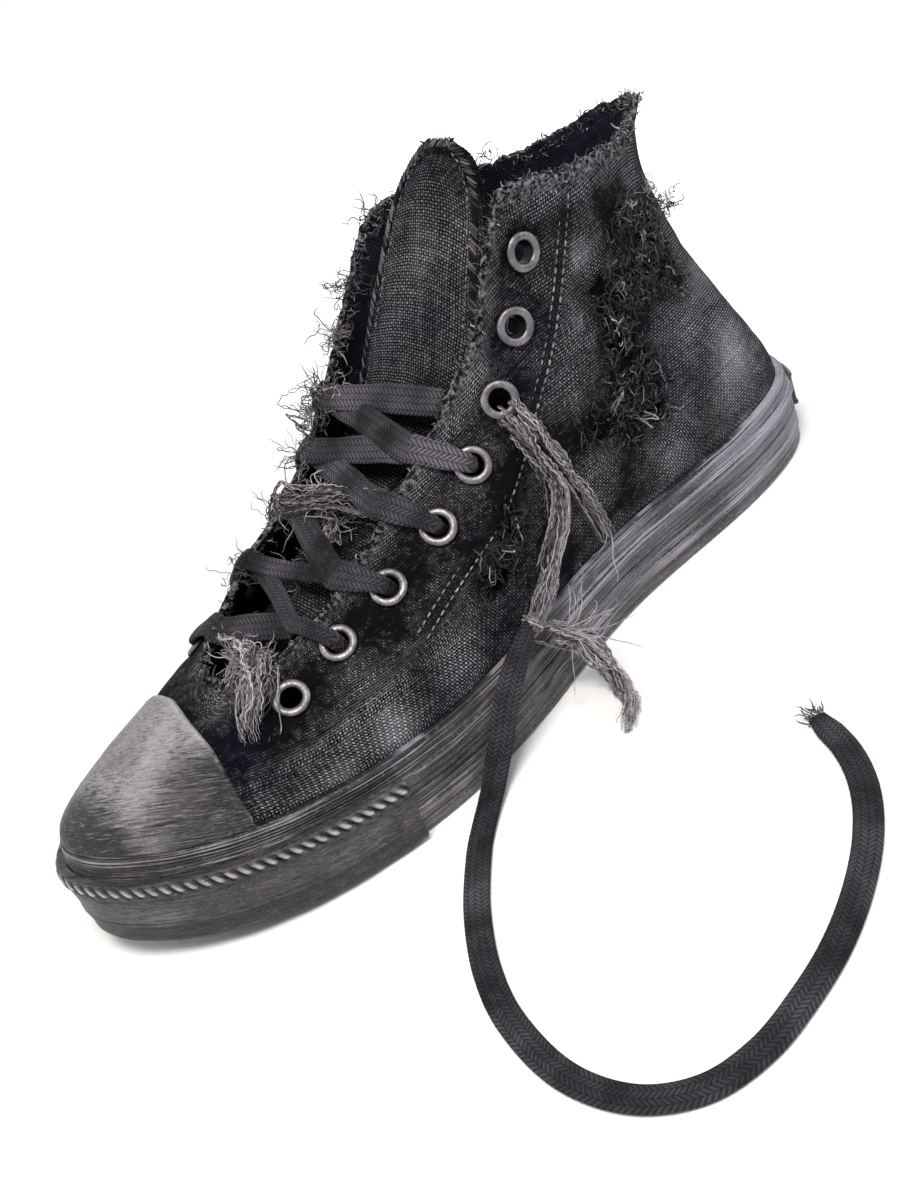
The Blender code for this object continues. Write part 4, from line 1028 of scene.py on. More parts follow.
def area_light(name, place, target, size, power, color="FFFFFF"):
    data = bpy.data.lights.new(name, "AREA")
    data.shape = "DISK"
    data.size = size
    data.energy = power
    data.color = linear(color)[:3]
    light = bpy.data.objects.new(name, data)
    light.location = place
    way = Vector(target) - Vector(place)
    light.rotation_mode = "QUATERNION"
    light.rotation_quaternion = way.to_track_quat("-Z", "Y")
    bpy.context.scene.collection.objects.link(light)


def floor_paint():
    """White paper sweep: seen as pure white away from the shoe, and shaded only under it."""
    material, add = new_paint("white_floor")
    place = add("TexCoord", out=3)
    color = add("MixRGB", add("TexNoise", place, Scale=9, Roughness=0.55), "FFFFFF", "FCFCFC")
    away = add("VectorMath", place, operation="LENGTH", out=1)
    glow = add("Math", add("LightPath"), add("MapRange", away, 0.18, 0.55, 0, 0.9),
               operation="MULTIPLY")
    add("OutputMaterial", add("BsdfPrincipled", Base_Color=color, Roughness=0.9,
                              Emission_Color="FFFFFF", Emission_Strength=glow))
    return material


def make_stage():
    """White floor and white surroundings with soft daylight."""
    scene = bpy.context.scene
    scene.view_settings.view_transform = "Standard"
    sky = bpy.data.worlds.new("white_room")
    sky.use_nodes = True
    sky.node_tree.nodes.clear()
    add = partial(add_node, sky.node_tree)
    rays = add("LightPath", out=None).outputs
    seen = add("Math", add("Math", rays["Is Camera Ray"], rays["Is Glossy Ray"]),
               rays["Is Transmission Ray"], use_clamp=True)
    add("OutputWorld", add("MixShader", seen, add("Background", "F4F6FA", 0.33),
                           add("Background", "FFFFFF", 1.0)))
    scene.world = sky
    mesh = bpy.data.meshes.new("floor")
    mesh.from_pydata([(-3, -3, 0), (3, -3, 0), (3, 3, 0), (-3, 3, 0)], [], [(0, 1, 2, 3)])
    mesh.materials.append(floor_paint())
    floor = bpy.data.objects.new("floor", mesh)
    scene.collection.objects.link(floor)
    floor.location.z = -0.0002
    area_light("key_light", (0.25, 0.35, 0.95), (0.0, 0.0, 0.04), 0.42, 9.5, "FFFAF4")
    area_light("side_light", (-0.75, 0.55, 0.55), (0.0, 0.0, 0.05), 0.5, 2.6, "F2F5FF")
    area_light("toe_light", (0.85, -0.25, 0.5), (0.08, 0.0, 0.03), 0.5, 2.0)


make_camera()
make_stage()

CANVAS = canvas_paint("black_canvas", "0D0C10", "1A181E", "CBC8D0")
TONGUE_CANVAS = canvas_paint("tongue_canvas", "0D0C10", "19171C", "B4B1B9", pitch=0.85, rubbed=0.75)
LINING = lining_paint("navy_lining", "0F0E1A", "1E1C2E")
SIDE_RUBBER = rubber_paint("side_rubber_scuffed", "151418", "66646C", "B3B0BA", ribs=0.9, blue=0.3)
SOLE_RUBBER = rubber_paint("sole_rubber_scuffed", "1A191C", "4A484E", "7C7980")
CAP_RUBBER = cap_paint()
BUMPER_RUBBER = bumper_paint()
BRAID = braid_paint("charcoal_plait", "0D0C11", "1A181E", "79757E", pitch=1.35)
DARK_BRAID = braid_paint("black_plait", "0E0D11", "232127", "75727A", pitch=1.35, column=3.5)
THREAD = thread_paint("cotton_thread", "0A090E", "D2CBD2")
METAL = metal_paint()
STRIPE = canvas_paint("heel_tape", "050506", "0A090C", "201F24", pitch=0.6, rubbed=0.3)


# -------------------- upper

def near_line(points, a, b):
    """Distance from points to the segment a b, in any number of dimensions."""
    a, b = np.asarray(a, float), np.asarray(b, float)
    way = b - a
    share = np.clip((points - a) @ way / (way @ way), 0, 1)
    return norm(points - a - share[..., None] * way, axis=-1)


def beside_line(flat, line):
    """Distance from a line through points in plan, and 1 or -1 for the side of it."""
    away, side = np.full(flat.shape[:-1], 1e9), np.zeros(flat.shape[:-1])
    for a, b in zip(line, line[1:]):
        gap = near_line(flat, a, b)
        cross = (b[0] - a[0]) * (flat[..., 1] - a[1]) - (b[1] - a[1]) * (flat[..., 0] - a[0])
        closer = gap < away
        away, side = np.where(closer, gap, away), np.where(closer, np.sign(cross), side)
    return away, side


def turned_blob(points, x, z, long_half, high_half, turn):
    """1 at the middle of a turned oval of the outer side, 0 at and beyond its rim."""
    turn = math.radians(turn)
    dx, dz = points[..., 0] - x, points[..., 2] - z
    along = dx * math.cos(turn) + dz * math.sin(turn)
    rise = -dx * math.sin(turn) + dz * math.cos(turn)
    away = (along / long_half) ** 2 + (rise / high_half) ** 2
    return np.where(points[..., 1] > 0, np.clip(1 - away, 0, 1), 0.0)


AROUND = np.arange(COLUMNS) / COLUMNS
OUTER = upper_grid(AROUND, SHELL_ROWS, ragged=0.7)
NORMAL = grid_normals(OUTER, AROUND)
TREE = BVHTree.FromPolygons([Vector(p) for p in OUTER.reshape(-1, 3)],
                            grid_faces(*OUTER.shape[:2], True).tolist())


def surface_at(x, z, side):
    """Where a level line across the shoe meets the upper on one side, and the normal there."""
    point, normal, _, _ = TREE.ray_cast(Vector((x, side * 90.0, z)), Vector((0, -side, 0)))
    if normal.y * side < 0:
        normal = -normal
    return np.array(point), np.array(normal)


SEATS = [surface_at(x, z, side) for side, holes in ((1, LATERAL_HOLES), (-1, MEDIAL_HOLES))
         for x, z in holes]


def nearest(point):
    """The upper's nearest point, and its normal."""
    spot, normal, _, _ = TREE.find_nearest(Vector(point))
    normal = np.array(normal)
    spot = np.array(spot)
    middle = np.array([spot[0] - 10.0, 0.0, 10.0])
    if normal @ (spot - middle) < 0:
        normal = -normal
    return spot, normal


def torn_amount(points, grow=1.0):
    total = np.zeros(points.shape[:-1])
    for x, z, long_half, high_half, turn in SHREDDED:
        total = np.maximum(total, turned_blob(points, x, z, long_half * grow, high_half * grow, turn))
    return np.clip(total * 1.8, 0, 1)


SEAM = ((93.5, 128), (101.6, 116.3), (110.4, 102.3), (120.7, 88.7), (131, 78.9), (141.2, 69.1),
        (153.5, 60.9), (167.1, 55.6), (180.4, 50.4), (189.4, 46.7))


def facing_step(points):
    """Distance from the stitched seam, more than 0 on its eyelet side, on both sides of the shoe."""
    away, side = beside_line(points[..., ::2], SEAM)
    return away * side


FRONT_SEAM = ((247, -44), (240, -30), (233.5, -16), (231.2, -0.8), (239.9, 16.1), (244.9, 23.7),
              (248.8, 29.5), (254, 37))


def behind_front(points):
    """1 behind the edge where the quarters lie over the vamp, and how near that edge is."""
    away, side = beside_line(points[..., :2], FRONT_SEAM)
    return 1 / (1 + np.exp(-np.clip(away * side / 0.35, -30, 30))), np.exp(-(away / 1.1) ** 2)


def build_upper():
    grid = OUTER.copy()
    rows, columns = grid.shape[:2]
    height = grid_uv(grid)[..., 1]
    from_edge = height[-1] - height
    from_foxing = height - height[WALL_ROWS]
    relief = np.zeros((rows, columns))
    flat = grid[..., ::2].copy()
    for side, x1, z1, x2, z2, wide, deep in CREASES:
        away = near_line(flat, (x1, z1), (x2, z2))
        relief += np.where(grid[..., 1] * side > 0, deep * np.exp(-(away / wide) ** 2), 0)
    free = np.clip(from_foxing / 10, 0, 1)
    relief += 0.35 * free * wobble(grid, 34, 11) + 0.18 * free * wobble(grid, 13, 12)
    seam = facing_step(grid)
    beside = (flat[..., 0] < 192) * np.clip((192 - flat[..., 0]) / 6, 0, 1)
    relief += 0.45 * beside / (1 + np.exp(-np.clip(seam / 0.45, -30, 30)))
    pucker = 0.75 + 0.4 * wobble(grid, 5, 18)
    for row in (-1.4, 1.4):
        relief -= 0.38 * beside * pucker * np.exp(-((seam - row) / 0.8) ** 2)
    lap, lap_edge = behind_front(grid + 0.5 * wobble(grid, 4, 17)[..., None])
    relief += 0.7 * lap
    relief += 0.7 * np.exp(-(from_edge / 3.6) ** 2) * (1 + 0.4 * wobble(grid, 3, 13))
    torn = torn_amount(grid + 2.2 * wobble(grid, 6, 14)[..., None] * [1, 0, 1])
    relief += torn * (0.5 + 0.8 * wobble(grid, 2.6, 15))
    relief *= np.clip(from_foxing / 3, 0, 1)
    relief *= np.clip((254 - grid[..., 0]) / 6, 0, 1)
    for spot, _ in SEATS:
        relief *= 1 - np.exp(-(norm(grid - spot, axis=2) / 6.5) ** 4)
    grid += NORMAL * relief[..., None]
    u = grid_uv(grid)[..., 0]
    wear = np.zeros((rows, columns))
    for x, y, z, reach, strength in RUBBED:
        away = norm(grid - [x, y, z], axis=2)
        wear = np.maximum(wear, strength * np.exp(-(away / reach) ** 2))
    wear = np.maximum(wear, 0.65 * np.exp(-(from_foxing / 5) ** 2) * (0.7 + 0.3 * wobble(grid, 25, 16)))
    wear = np.maximum(wear, 0.55 * np.exp(-((from_edge - 5) / 5) ** 2))
    wear *= 1 - 0.4 * np.clip((grid[..., 0] - 165) / 18, 0, 1) * np.clip((grid[..., 2] - 42) / 8, 0, 1)
    band = np.clip(1.15 - from_edge / 5.2, 0, 1) * (grid[..., 0] < 234)
    attributes = {"wear": np.clip(wear, 0, 1), "torn": np.maximum(torn, 0.55 * lap_edge ** 4), "band": band,
                  "seam": beside * np.exp(-(seam / 2.4) ** 4)}
    faces = grid_faces(rows, columns, True)
    centre = grid.reshape(-1, 3)[faces].mean(axis=1)
    keep = np.ones(len(faces), bool)
    for spot, _ in SEATS:
        keep &= norm(centre - spot, axis=1) > HOLE_RADIUS
    for x, z, long_half, high_half, turn in TEARS:
        ragged = centre + 1.3 * wobble(centre, 4, 21)[:, None] * [1, 0, 1]
        keep &= turned_blob(ragged, x, z, long_half, high_half, turn) <= 0
    points = grid.reshape(-1, 3)
    for spot, _ in SEATS:
        offset = points - spot
        away = norm(offset, axis=1)
        close = (away < HOLE_RADIUS + 0.9) & (away > 1.5)
        way = offset[close] / away[close, None]
        points[close] = spot + way * np.maximum(away[close, None], HOLE_RADIUS)
    item = piece("canvas_upper", points, faces[keep][:, ::-1], [CANVAS, LINING], None,
                 np.stack([u, height], axis=2), attributes, sharp=0)
    shell = item.modifiers.new("wall", "SOLIDIFY")
    shell.thickness = WALL * MM
    shell.offset = -1
    shell.material_offset = 1
    shell.material_offset_rim = 0
    shell.use_quality_normals = True
    apply_modifiers(item)
    item.data.shade_smooth()
    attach(item, "root")
    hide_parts("upper")


# -------------------- rubber

def dense(steps, count):
    """A short table of (share, out) as count even rows."""
    steps = np.array(steps)
    share = np.linspace(steps[0, 0], steps[-1, 0], count)
    return np.column_stack([share, np.interp(share, steps[:, 0], steps[:, 1])])


def build_foxing():
    count = 640
    around = np.arange(count) / count
    turn = (around + 0.5) % 1.0 - 0.5
    hidden = (around > BUMPER_FROM - 0.006) & (around < BUMPER_TO + 0.006)
    behind = hidden | (np.abs(turn) < 0.037)
    rows = dense(FOXING_STEPS, 56)
    loops, share_of = [], []
    for share, out in rows:
        offset = np.where(behind & (out > 0) & (share < 0.8), 0, out)
        offset = offset + 0.12 * np.sin(around * 2 * math.pi * 31 + share * 9) * np.sin(around * 44)
        loops.append(ring(around, offset, foxing_height(share)))
        share_of.append(np.full(count, share))
    loops.append(ring(around, -FOXING_THICK, foxing_height(1)))
    loops.append(ring(around, -FOXING_THICK, foxing_height(0)))
    loops.append(loops[0])
    share_of += [np.ones(count), np.zeros(count), np.zeros(count)]
    grid = np.array(loops)
    share = np.array(share_of)
    u = np.tile(around * PERIMETER, (len(grid), 1))
    v = share * 22.0
    x = grid[..., 0]
    wear = np.interp(x, [40, 75, 110, 150, 190, 215, 240], [1, 0.8, 0.5, 0.08, 0.15, 0.22, 0.05])
    # edge marks the ridge and the top edge of the band, where the rubber gets a painted highlight
    edge = np.exp(-((share - 0.7) / 0.03) ** 2) + 0.8 * np.exp(-((share - 0.95) / 0.04) ** 2)
    ribbed = np.clip((0.6 - share) / 0.05, 0, 1) * np.clip((share - 0.25) / 0.05, 0, 1)
    ribbed += 0.5 * np.clip((share - 0.78) / 0.04, 0, 1)
    attributes = {"wear": wear, "edge": edge, "ribbed": ribbed, "cool": np.exp(-(x / 60) ** 2)}
    item = piece("foxing_band", grid, grid_faces(*grid.shape[:2], True), [SIDE_RUBBER], "side_rubber",
                 np.stack([u, v], axis=2), attributes, sharp=50)
    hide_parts("foxing")


def build_bumper():
    columns = 560
    around = np.linspace(BUMPER_FROM, BUMPER_TO, columns)
    rows = dense(BUMPER_STEPS, 52)
    length = (BUMPER_TO - BUMPER_FROM) * PERIMETER
    u = np.linspace(0, length, columns)
    loops, share_of, rope_highlight_of, rope_gap_shade_of = [], [], [], []
    for share, out in rows:
        tall = share * 19.0
        in_rope = np.clip(1 - abs(share - 0.885) / 0.105, 0, 1) ** 0.5
        lean = (0.885 - share) * 19.0 * 0.9
        ribs = np.abs(np.sin(math.pi * (u + lean) / ROPE_PITCH)) ** 0.7
        lift = in_rope * (1.25 * ribs - 0.8)
        dents = 0.12 * np.sin(u * 0.31 + tall) * np.sin(u * 0.11)
        loops.append(ring(around, out + lift + dents * (share < 0.7), bumper_height(share)))
        share_of.append(np.full(columns, share))
        # rope: the crowns of the rope ribs, where the colour gets a painted highlight
        rope_highlight_of.append(in_rope * np.clip(ribs * 1.6 - 0.75, 0, 1) * np.clip((share - 0.84) / 0.05, 0, 1))
        # gap: the low gaps between the rope ribs, painted dark as shade
        rope_gap_shade_of.append(np.clip(in_rope * 2, 0, 1) * np.clip(1.75 - ribs * 1.9, 0, 1))
    loops.append(ring(around, 0.35, bumper_height(1)))
    loops.append(ring(around, 0.35, bumper_height(0.03)))
    loops.append(loops[0])
    for _ in range(3):
        share_of.append(np.full(columns, 0.5))
        rope_highlight_of.append(np.zeros(columns))
        rope_gap_shade_of.append(np.zeros(columns))
    grid, share, rope = np.array(loops), np.array(share_of), np.array(rope_highlight_of)
    attributes = {
        "gap": np.array(rope_gap_shade_of),
        "rope": rope,
        "ribbed": np.clip((0.33 - share) / 0.03, 0, 1),
    }
    uv = np.stack([np.tile(u, (len(grid), 1)), share * 19.0], axis=2)
    item = piece("toe_bumper_rubber", grid, sleeve_faces(*grid.shape[:2]), [BUMPER_RUBBER],
                 "side_rubber", uv, attributes, sharp=55)
    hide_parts("toe_bumper")


def cap_rear(y):
    edge = np.array(CAP_EDGE)
    return np.interp(y, edge[:, 0], edge[:, 1])


def cap_reach(around):
    """How far up each column the cap goes, as the share of the shell."""
    t = np.linspace(0, 1, 301)
    reach = []
    for a in around:
        line = shell_point(np.full(len(t), a), t)
        ahead = line[:, 0] - cap_rear(line[:, 1])
        behind = np.nonzero(ahead < 0)[0]
        first = behind[0] if len(behind) else len(t) - 1
        if first == 0:
            reach.append(0)
            continue
        a0, a1 = ahead[first - 1], ahead[first]
        reach.append(t[first - 1] + (t[1] - t[0]) * a0 / (a0 - a1))
    return np.array(reach)


def build_cap():
    search = np.linspace(0.34, 0.66, 1601)
    reach = cap_reach(search)
    inside = search[reach > 0.004]
    columns, rows = 260, 60
    around = np.linspace(inside[0], inside[-1], columns)
    reach = cap_reach(around)
    fine = np.linspace(0, 1, 121)
    grid = np.empty((rows, columns, 3))
    for j, a in enumerate(around):
        line = shell_point(np.full(len(fine), a), fine * reach[j])
        grid[:, j] = even_steps(line, rows)
    normal = grid_normals(grid, around, False)
    height = grid_uv(grid)[..., 1]
    from_rear = height[-1] - height
    round_off = np.sqrt(np.clip(1 - (1 - np.clip(from_rear / 1.4, 0, 1)) ** 2, 0, 1))
    out = CAP_GAP + 0.3 + (CAP_THICK - 0.3) * round_off + 0.12 * wobble(grid, 16, 31) * (height > 3)
    top = grid + normal * out[..., None]
    skirt = ring(around, -FOXING_THICK - GAP + CAP_GAP + CAP_THICK, lambda x: foxing_top(x) + GAP)
    top[0] = skirt
    under = grid[::-1] + normal[::-1] * CAP_GAP
    under[-1] = ring(around, -FOXING_THICK - GAP + CAP_GAP, lambda x: foxing_top(x) + GAP)
    loops = np.concatenate([top, under, top[:1]])
    x, y = top[..., 0], top[..., 1]
    off = y + 4.0 - (x - 250) * 0.7
    front = np.clip((281.0 - x) / 9, 0, 1)
    wear = np.maximum(np.exp(-(off / 11) ** 2) * front, 0.72 * (off < 0) * front)
    wear = np.maximum(wear, 0.85 * np.exp(-(from_rear / 8) ** 2) * np.clip((23.0 - y) / 10, 0, 1))
    # edge is a thin line along the cap's rear rim, where it gets a painted highlight
    edge = np.exp(-((from_rear - 0.4) / 0.8) ** 2)
    rest = np.zeros((rows + 1, columns))
    attributes = {"wear": np.concatenate([wear, rest]), "edge": np.concatenate([edge, rest])}
    item = piece("toe_cap_rubber", loops, sleeve_faces(*loops.shape[:2]), [CAP_RUBBER], "cap_rubber",
                 grid_uv(loops), attributes, sharp=60)
    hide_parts("toe_cap")


def half_widths(x):
    around = np.linspace(0, 1, 721)[:-1]
    plan = OUTLINE_AT(around)
    outer, inner = plan[:360], plan[360:][::-1]
    return np.interp(x, outer[:, 0], outer[:, 1]), np.interp(x, inner[:, 0], inner[:, 1])


def build_insole():
    """Foot bed with a soft rim, on the shared outline."""
    count = 240
    around = np.arange(count) / count
    inset = FOXING_THICK + 2 * GAP + WALL
    profile = ((0, 0), (0, 2.6), (0.5, 3.3), (1.4, 3.6), (6, 3.45), (14, 3.3))
    loops = []
    for inward, tall in profile:
        loops.append(ring(around, -inset - inward, lambda x: ground(x) + 10.3 + tall))
    grid = np.array(loops)
    faces = [list(f) for f in grid_faces(*grid.shape[:2], True)]
    half = count // 2
    for start, flip in ((0, True), ((len(grid) - 1) * count, False)):
        for j in range(half):
            quad = [start + j, start + j + 1, start + count - j - 1, start + (count - j) % count]
            quad = list(dict.fromkeys(quad))
            if len(quad) > 2:
                faces.append(quad[::-1] if flip else quad)
    points = grid.reshape(-1, 3)
    item = piece("insole_bed", points, faces, [LINING], "lining", points[:, :2], sharp=50)
    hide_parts("insole")


def build_outsole():
    """Rubber bottom: the flange that shows below the foxing, and tread bars underneath."""
    count = 480
    around = np.arange(count) / count
    profile = ((-6, 0.35), (-1.5, 0.05), (-0.9, 0.25), (-0.45, 0.8), (-0.4, 1.6), (-0.55, 2.2),
               (-0.4, 2.8), (-0.4, 4.2), (-0.7, 4.6), (-4, 4.6), (-4.1, 10), (-20, 10))
    loops = [ring(around, out, lambda x: ground(x) + tall) for out, tall in profile]
    grid = np.array(loops)
    uv = np.stack([np.tile(around * PERIMETER, (len(grid), 1)), grid[..., 2] - ground(grid[..., 0])], 2)
    parts = [(grid.reshape(-1, 3), grid_faces(*grid.shape[:2], True), uv.reshape(-1, 2))]
    x = np.linspace(6.5, 289, 283)
    low, high = np.array([half_widths(v)[::-1] for v in x]).T
    low, high = np.minimum(low, high) + 1.7, np.maximum(low, high) - 1.7
    share = np.sort(np.r_[np.linspace(0, 1, 25), 0.12, 0.88])
    y = low[:, None] + np.maximum(high - low, 0.1)[:, None] * share
    phase = np.abs((x + 6.5) % 13.0 - 6.5)
    groove = (phase < 1.6) & (x > 10) & (x < 272)
    inner = (y > low[:, None] + 7.3) & (y < high[:, None] - 7.3)
    z = ground(x)[:, None] + np.where(groove[:, None] & inner, 1.8, 0)
    bottom = np.stack([np.repeat(x[:, None], y.shape[1], 1), y, z], axis=2)
    parts.append((bottom.reshape(-1, 3), grid_faces(*y.shape, False), bottom[..., :2].reshape(-1, 2)))
    points, faces, uv = join(parts)
    item = piece("outsole_rubber", points, faces, [SOLE_RUBBER], "sole_rubber", uv,
                 {"wear": np.full(len(points), 0.45)}, sharp=45)
    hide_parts("outsole")


def band_piece(name, loops, material, slot, node, wear=0.3):
    """A closed strip from loops in order round its section."""
    closed = np.array([*loops, loops[0]])
    item = piece(name, closed, sleeve_faces(*closed.shape[:2]), [material], slot, grid_uv(closed),
                 {"wear": np.full(closed.shape[:2], wear)}, sharp=50)
    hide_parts(node)


def build_heel_parts():
    """Thin stay up the back seam, and the bare plate on the foxing."""
    around = np.linspace(-0.0062, 0.0062, 7)
    rows = 60
    t = np.linspace(0, 0.94, rows)
    grid = np.array([shell_point(around, np.full(len(around), v)) for v in t])
    level = unit(np.cross(np.gradient(grid, axis=0), np.gradient(grid, axis=1)))
    level *= -np.sign(level[5, 3, 0])
    lift = 0.25 * np.sin(t * 40)[:, None, None] * (t > 0.4)[:, None, None]
    near = grid + level * 0.45
    far = grid + level * (1.25 + lift)
    for block in (near, far):
        block[0, :, 2] = foxing_top(block[0, :, 0]) + GAP
    loops = [near[:, k] for k in range(7)] + [far[:, k] for k in range(6, -1, -1)]
    band_piece("heel_tape", loops, STRIPE, "canvas", "heel_strip")
    around = np.linspace(-0.031, 0.031, 40)
    steps = ((0.2, 0.35), (0.205, 1.4), (0.22, 1.75), (0.26, 1.85), (0.28, 1.6), (0.3, 1.45),
             (0.7, 1.45), (0.72, 1.6), (0.74, 1.85), (0.78, 1.75), (0.795, 1.4), (0.8, 0.35))
    loops = [ring(around, out, foxing_height(share)) for share, out in steps]
    band_piece("heel_plate_rubber", loops, SOLE_RUBBER, "side_rubber", "heel_plate", 0.6)


# -------------------- tongue

INNER_TREE = BVHTree.FromPolygons([Vector(p) for p in (OUTER - NORMAL * WALL).reshape(-1, 3)],
                                  grid_faces(*OUTER.shape[:2], True).tolist())


def tongue_surface(rows, columns):
    keys = smooth_path(np.array(TONGUE), 12)
    keys = keys[np.linspace(0, len(keys) - 1, rows).astype(int)]
    share = np.linspace(0, 1, columns)
    grid = np.empty((len(keys), columns, 3))
    for i, (x, z, y_out, y_in, skew, crown) in enumerate(keys):
        sink = crown * (2 * share - 1) ** 2
        grid[i, :, 0] = x + skew * (share - 0.5) - 0.6 * sink
        grid[i, :, 1] = y_out + (y_in - y_out) * share
        grid[i, :, 2] = z - 0.8 * sink
    for i in range(len(keys)):
        if keys[i][0] < 214:
            continue
        for j in range(columns):
            x, y, z = grid[i, j]
            roof = INNER_TREE.ray_cast(Vector((x, y, 15)), Vector((0, 0, 1)))[0]
            if roof:
                grid[i, j, 2] = min(z, roof.z - 2 * GAP)
    normal = unit(np.cross(np.gradient(grid, axis=0), np.gradient(grid, axis=1)))
    normal *= np.sign(normal[len(keys) // 2, columns // 2, 2])
    return grid, normal


def build_tongue():
    rows, columns = 100, 47
    grid, normal = tongue_surface(rows, columns)
    rim = np.concatenate([grid[:, 0], grid[-1], grid[::-1, -1]])
    away = np.min(norm(grid[:, :, None] - rim[None, None, ::2], axis=3), axis=2)
    bound = np.clip((4.0 - away) / 0.6, 0, 1)
    edge = np.clip(away / 0.9, 0, 1)
    soft = 0.35 * wobble(grid, 30, 41) * np.clip(away / 8, 0, 1)
    round_off = 0.5 * (1 - edge) ** 2
    top = grid + normal * (0.05 + 0.45 * bound * np.sqrt(edge) + soft * 0.6 - round_off)[..., None]
    under = grid - normal * (TONGUE_THICK - round_off)[..., None]
    points = np.array([top, under])
    faces = [*grid_faces(rows, columns, False), *grid_faces(rows, columns, False, True, rows * columns)]
    border = [j for j in range(columns)]
    border += [i * columns + columns - 1 for i in range(1, rows)]
    border += [(rows - 1) * columns + j for j in range(columns - 2, -1, -1)]
    border += [i * columns for i in range(rows - 2, 0, -1)]
    shift = rows * columns
    for a, b in zip(border, border[1:] + border[:1]):
        faces.append([a, a + shift, b + shift, b])
    wear = 0.38 + 0.3 * np.exp(-((grid[..., 2] - 118) / 24) ** 2) * np.exp(-((grid[..., 1] + 2) / 12) ** 2)
    wear = np.where(bound > 0.5, 0.1, wear)
    item = piece("tongue_canvas", points, faces, [TONGUE_CANVAS], "canvas", np.array([grid_uv(grid)] * 2),
                 {"wear": np.array([wear, 0 * wear])}, sharp=0)
    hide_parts("tongue")
    route = [(i, 0, 1) for i in range(26, rows - 3)] + [(rows - 3, j, 0) for j in range(2, columns - 2)]
    route += [(i, columns - 1, -1) for i in range(rows - 4, 26, -1)]
    lines = []
    for inset in (2.1, 4.4):
        line = []
        for i, j, way in route:
            if way:
                span = norm(top[i, 0] - top[i, -1])
                line.append(top[i, int(round(j + way * inset / span * (columns - 1)))])
            else:
                line.append(top[max(i - int(round((inset - 1.2) / 1.5)), 0), j])
        lines.append(np.array(line))
    ups = np.array([normal[i, j] for i, j, _ in route])
    return lines[0], lines[1], ups


# -------------------- stitches

def stitch_tree(material):
    """Geometry Nodes: one rounded stitch at every pitch along a line, turned by an angle."""
    tree, add = new_tree("stitches", ("Pitch", "Length", "Width", "Height", "Angle", "Uneven"))
    source = add("NodeGroupInput", out=None).outputs
    curve = add("GeometryNodeMeshToCurve", Mesh=source["Geometry"])
    even = add("GeometryNodeResampleCurve", Curve=curve, Length=source["Pitch"], mode="LENGTH")
    up = add("GeometryNodeInputNamedAttribute", Name="up", data_type="FLOAT_VECTOR")
    tangent = add("GeometryNodeInputTangent")
    along = add("FunctionNodeAlignRotationToVector", Vector=tangent, axis="X")
    seated = add("FunctionNodeAlignRotationToVector", Rotation=along, Vector=up, axis="Z",
        pivot_axis="X")
    spread = add("FunctionNodeRandomValue", None, None, -1, 1, Seed=5, data_type="FLOAT", out=1)
    sway = add("Math", spread, source["Uneven"], operation="MULTIPLY")
    angle = add("Math", sway, source["Angle"], operation="ADD")
    twist = add("FunctionNodeAxisAngleToRotation", Axis=(0, 0, 1), Angle=angle)
    turned = add("FunctionNodeRotateRotation", seated, twist, rotation_space="LOCAL")
    ball = add("GeometryNodeMeshUVSphere", Segments=8, Rings=6, Radius=0.5)
    size = add("CombineXYZ", source["Length"], source["Width"], source["Height"])
    scaled = add("GeometryNodeTransform", Geometry=ball, Scale=size)
    placed = add("GeometryNodeInstanceOnPoints", Points=even, Instance=scaled, Rotation=turned)
    worn = add("FunctionNodeRandomValue", None, None, -0.2, 0.2, Seed=9, data_type="FLOAT", out=1)
    shade = add("GeometryNodeInputNamedAttribute", Name="shade", data_type="FLOAT")
    tint = add("Math", worn, shade, operation="ADD")
    marked = add("GeometryNodeStoreNamedAttribute", Geometry=placed, Name="tint", Value=tint,
        data_type="FLOAT", domain="INSTANCE")
    return finish_tree(tree, add, marked, material)


def stitch_lines(name, lines, ups, material, slot, tint, angle=0, uneven=0, **sizes):
    """Stitches along one or more lines on the surface; sizes in millimetres, angle in radians."""
    edges, start = [], 0
    for line in lines:
        edges += [(start + k, start + k + 1) for k in range(len(line) - 1)]
        start += len(line)
    values = {key.capitalize(): size * MM for key, size in sizes.items()}
    grown(name, stitch_tree(material), {**values, "Angle": angle, "Uneven": uneven},
          np.concatenate(lines), edges, {"up": np.concatenate(ups)}, {"shade": np.full(start, tint)})


def surface_line(keys, side, out, shift=0):
    """A smooth line on the upper through (x, z) keys, moved sideways by shift."""
    flat = smooth_path([(x, 0, z) for x, z in keys], 8)
    spots, normals = [], []
    for x, _, z in flat:
        spot, normal = surface_at(x, z, side)
        spots.append(spot)
        normals.append(normal)
    spots, normals = np.array(spots), np.array(normals)
    along = np.gradient(spots, axis=0)
    across = unit(np.cross(along, normals))
    return even_steps(spots + across * shift + normals * out, 120), even_steps(normals, 120)


def top_line(keys, out):
    """A smooth line on the upper through points near it."""
    spots, normals = [], []
    for point in smooth_path(keys, 8):
        spot, normal = nearest(point)
        spots.append(spot + normal * out)
        normals.append(normal)
    return np.array(spots), np.array(normals)


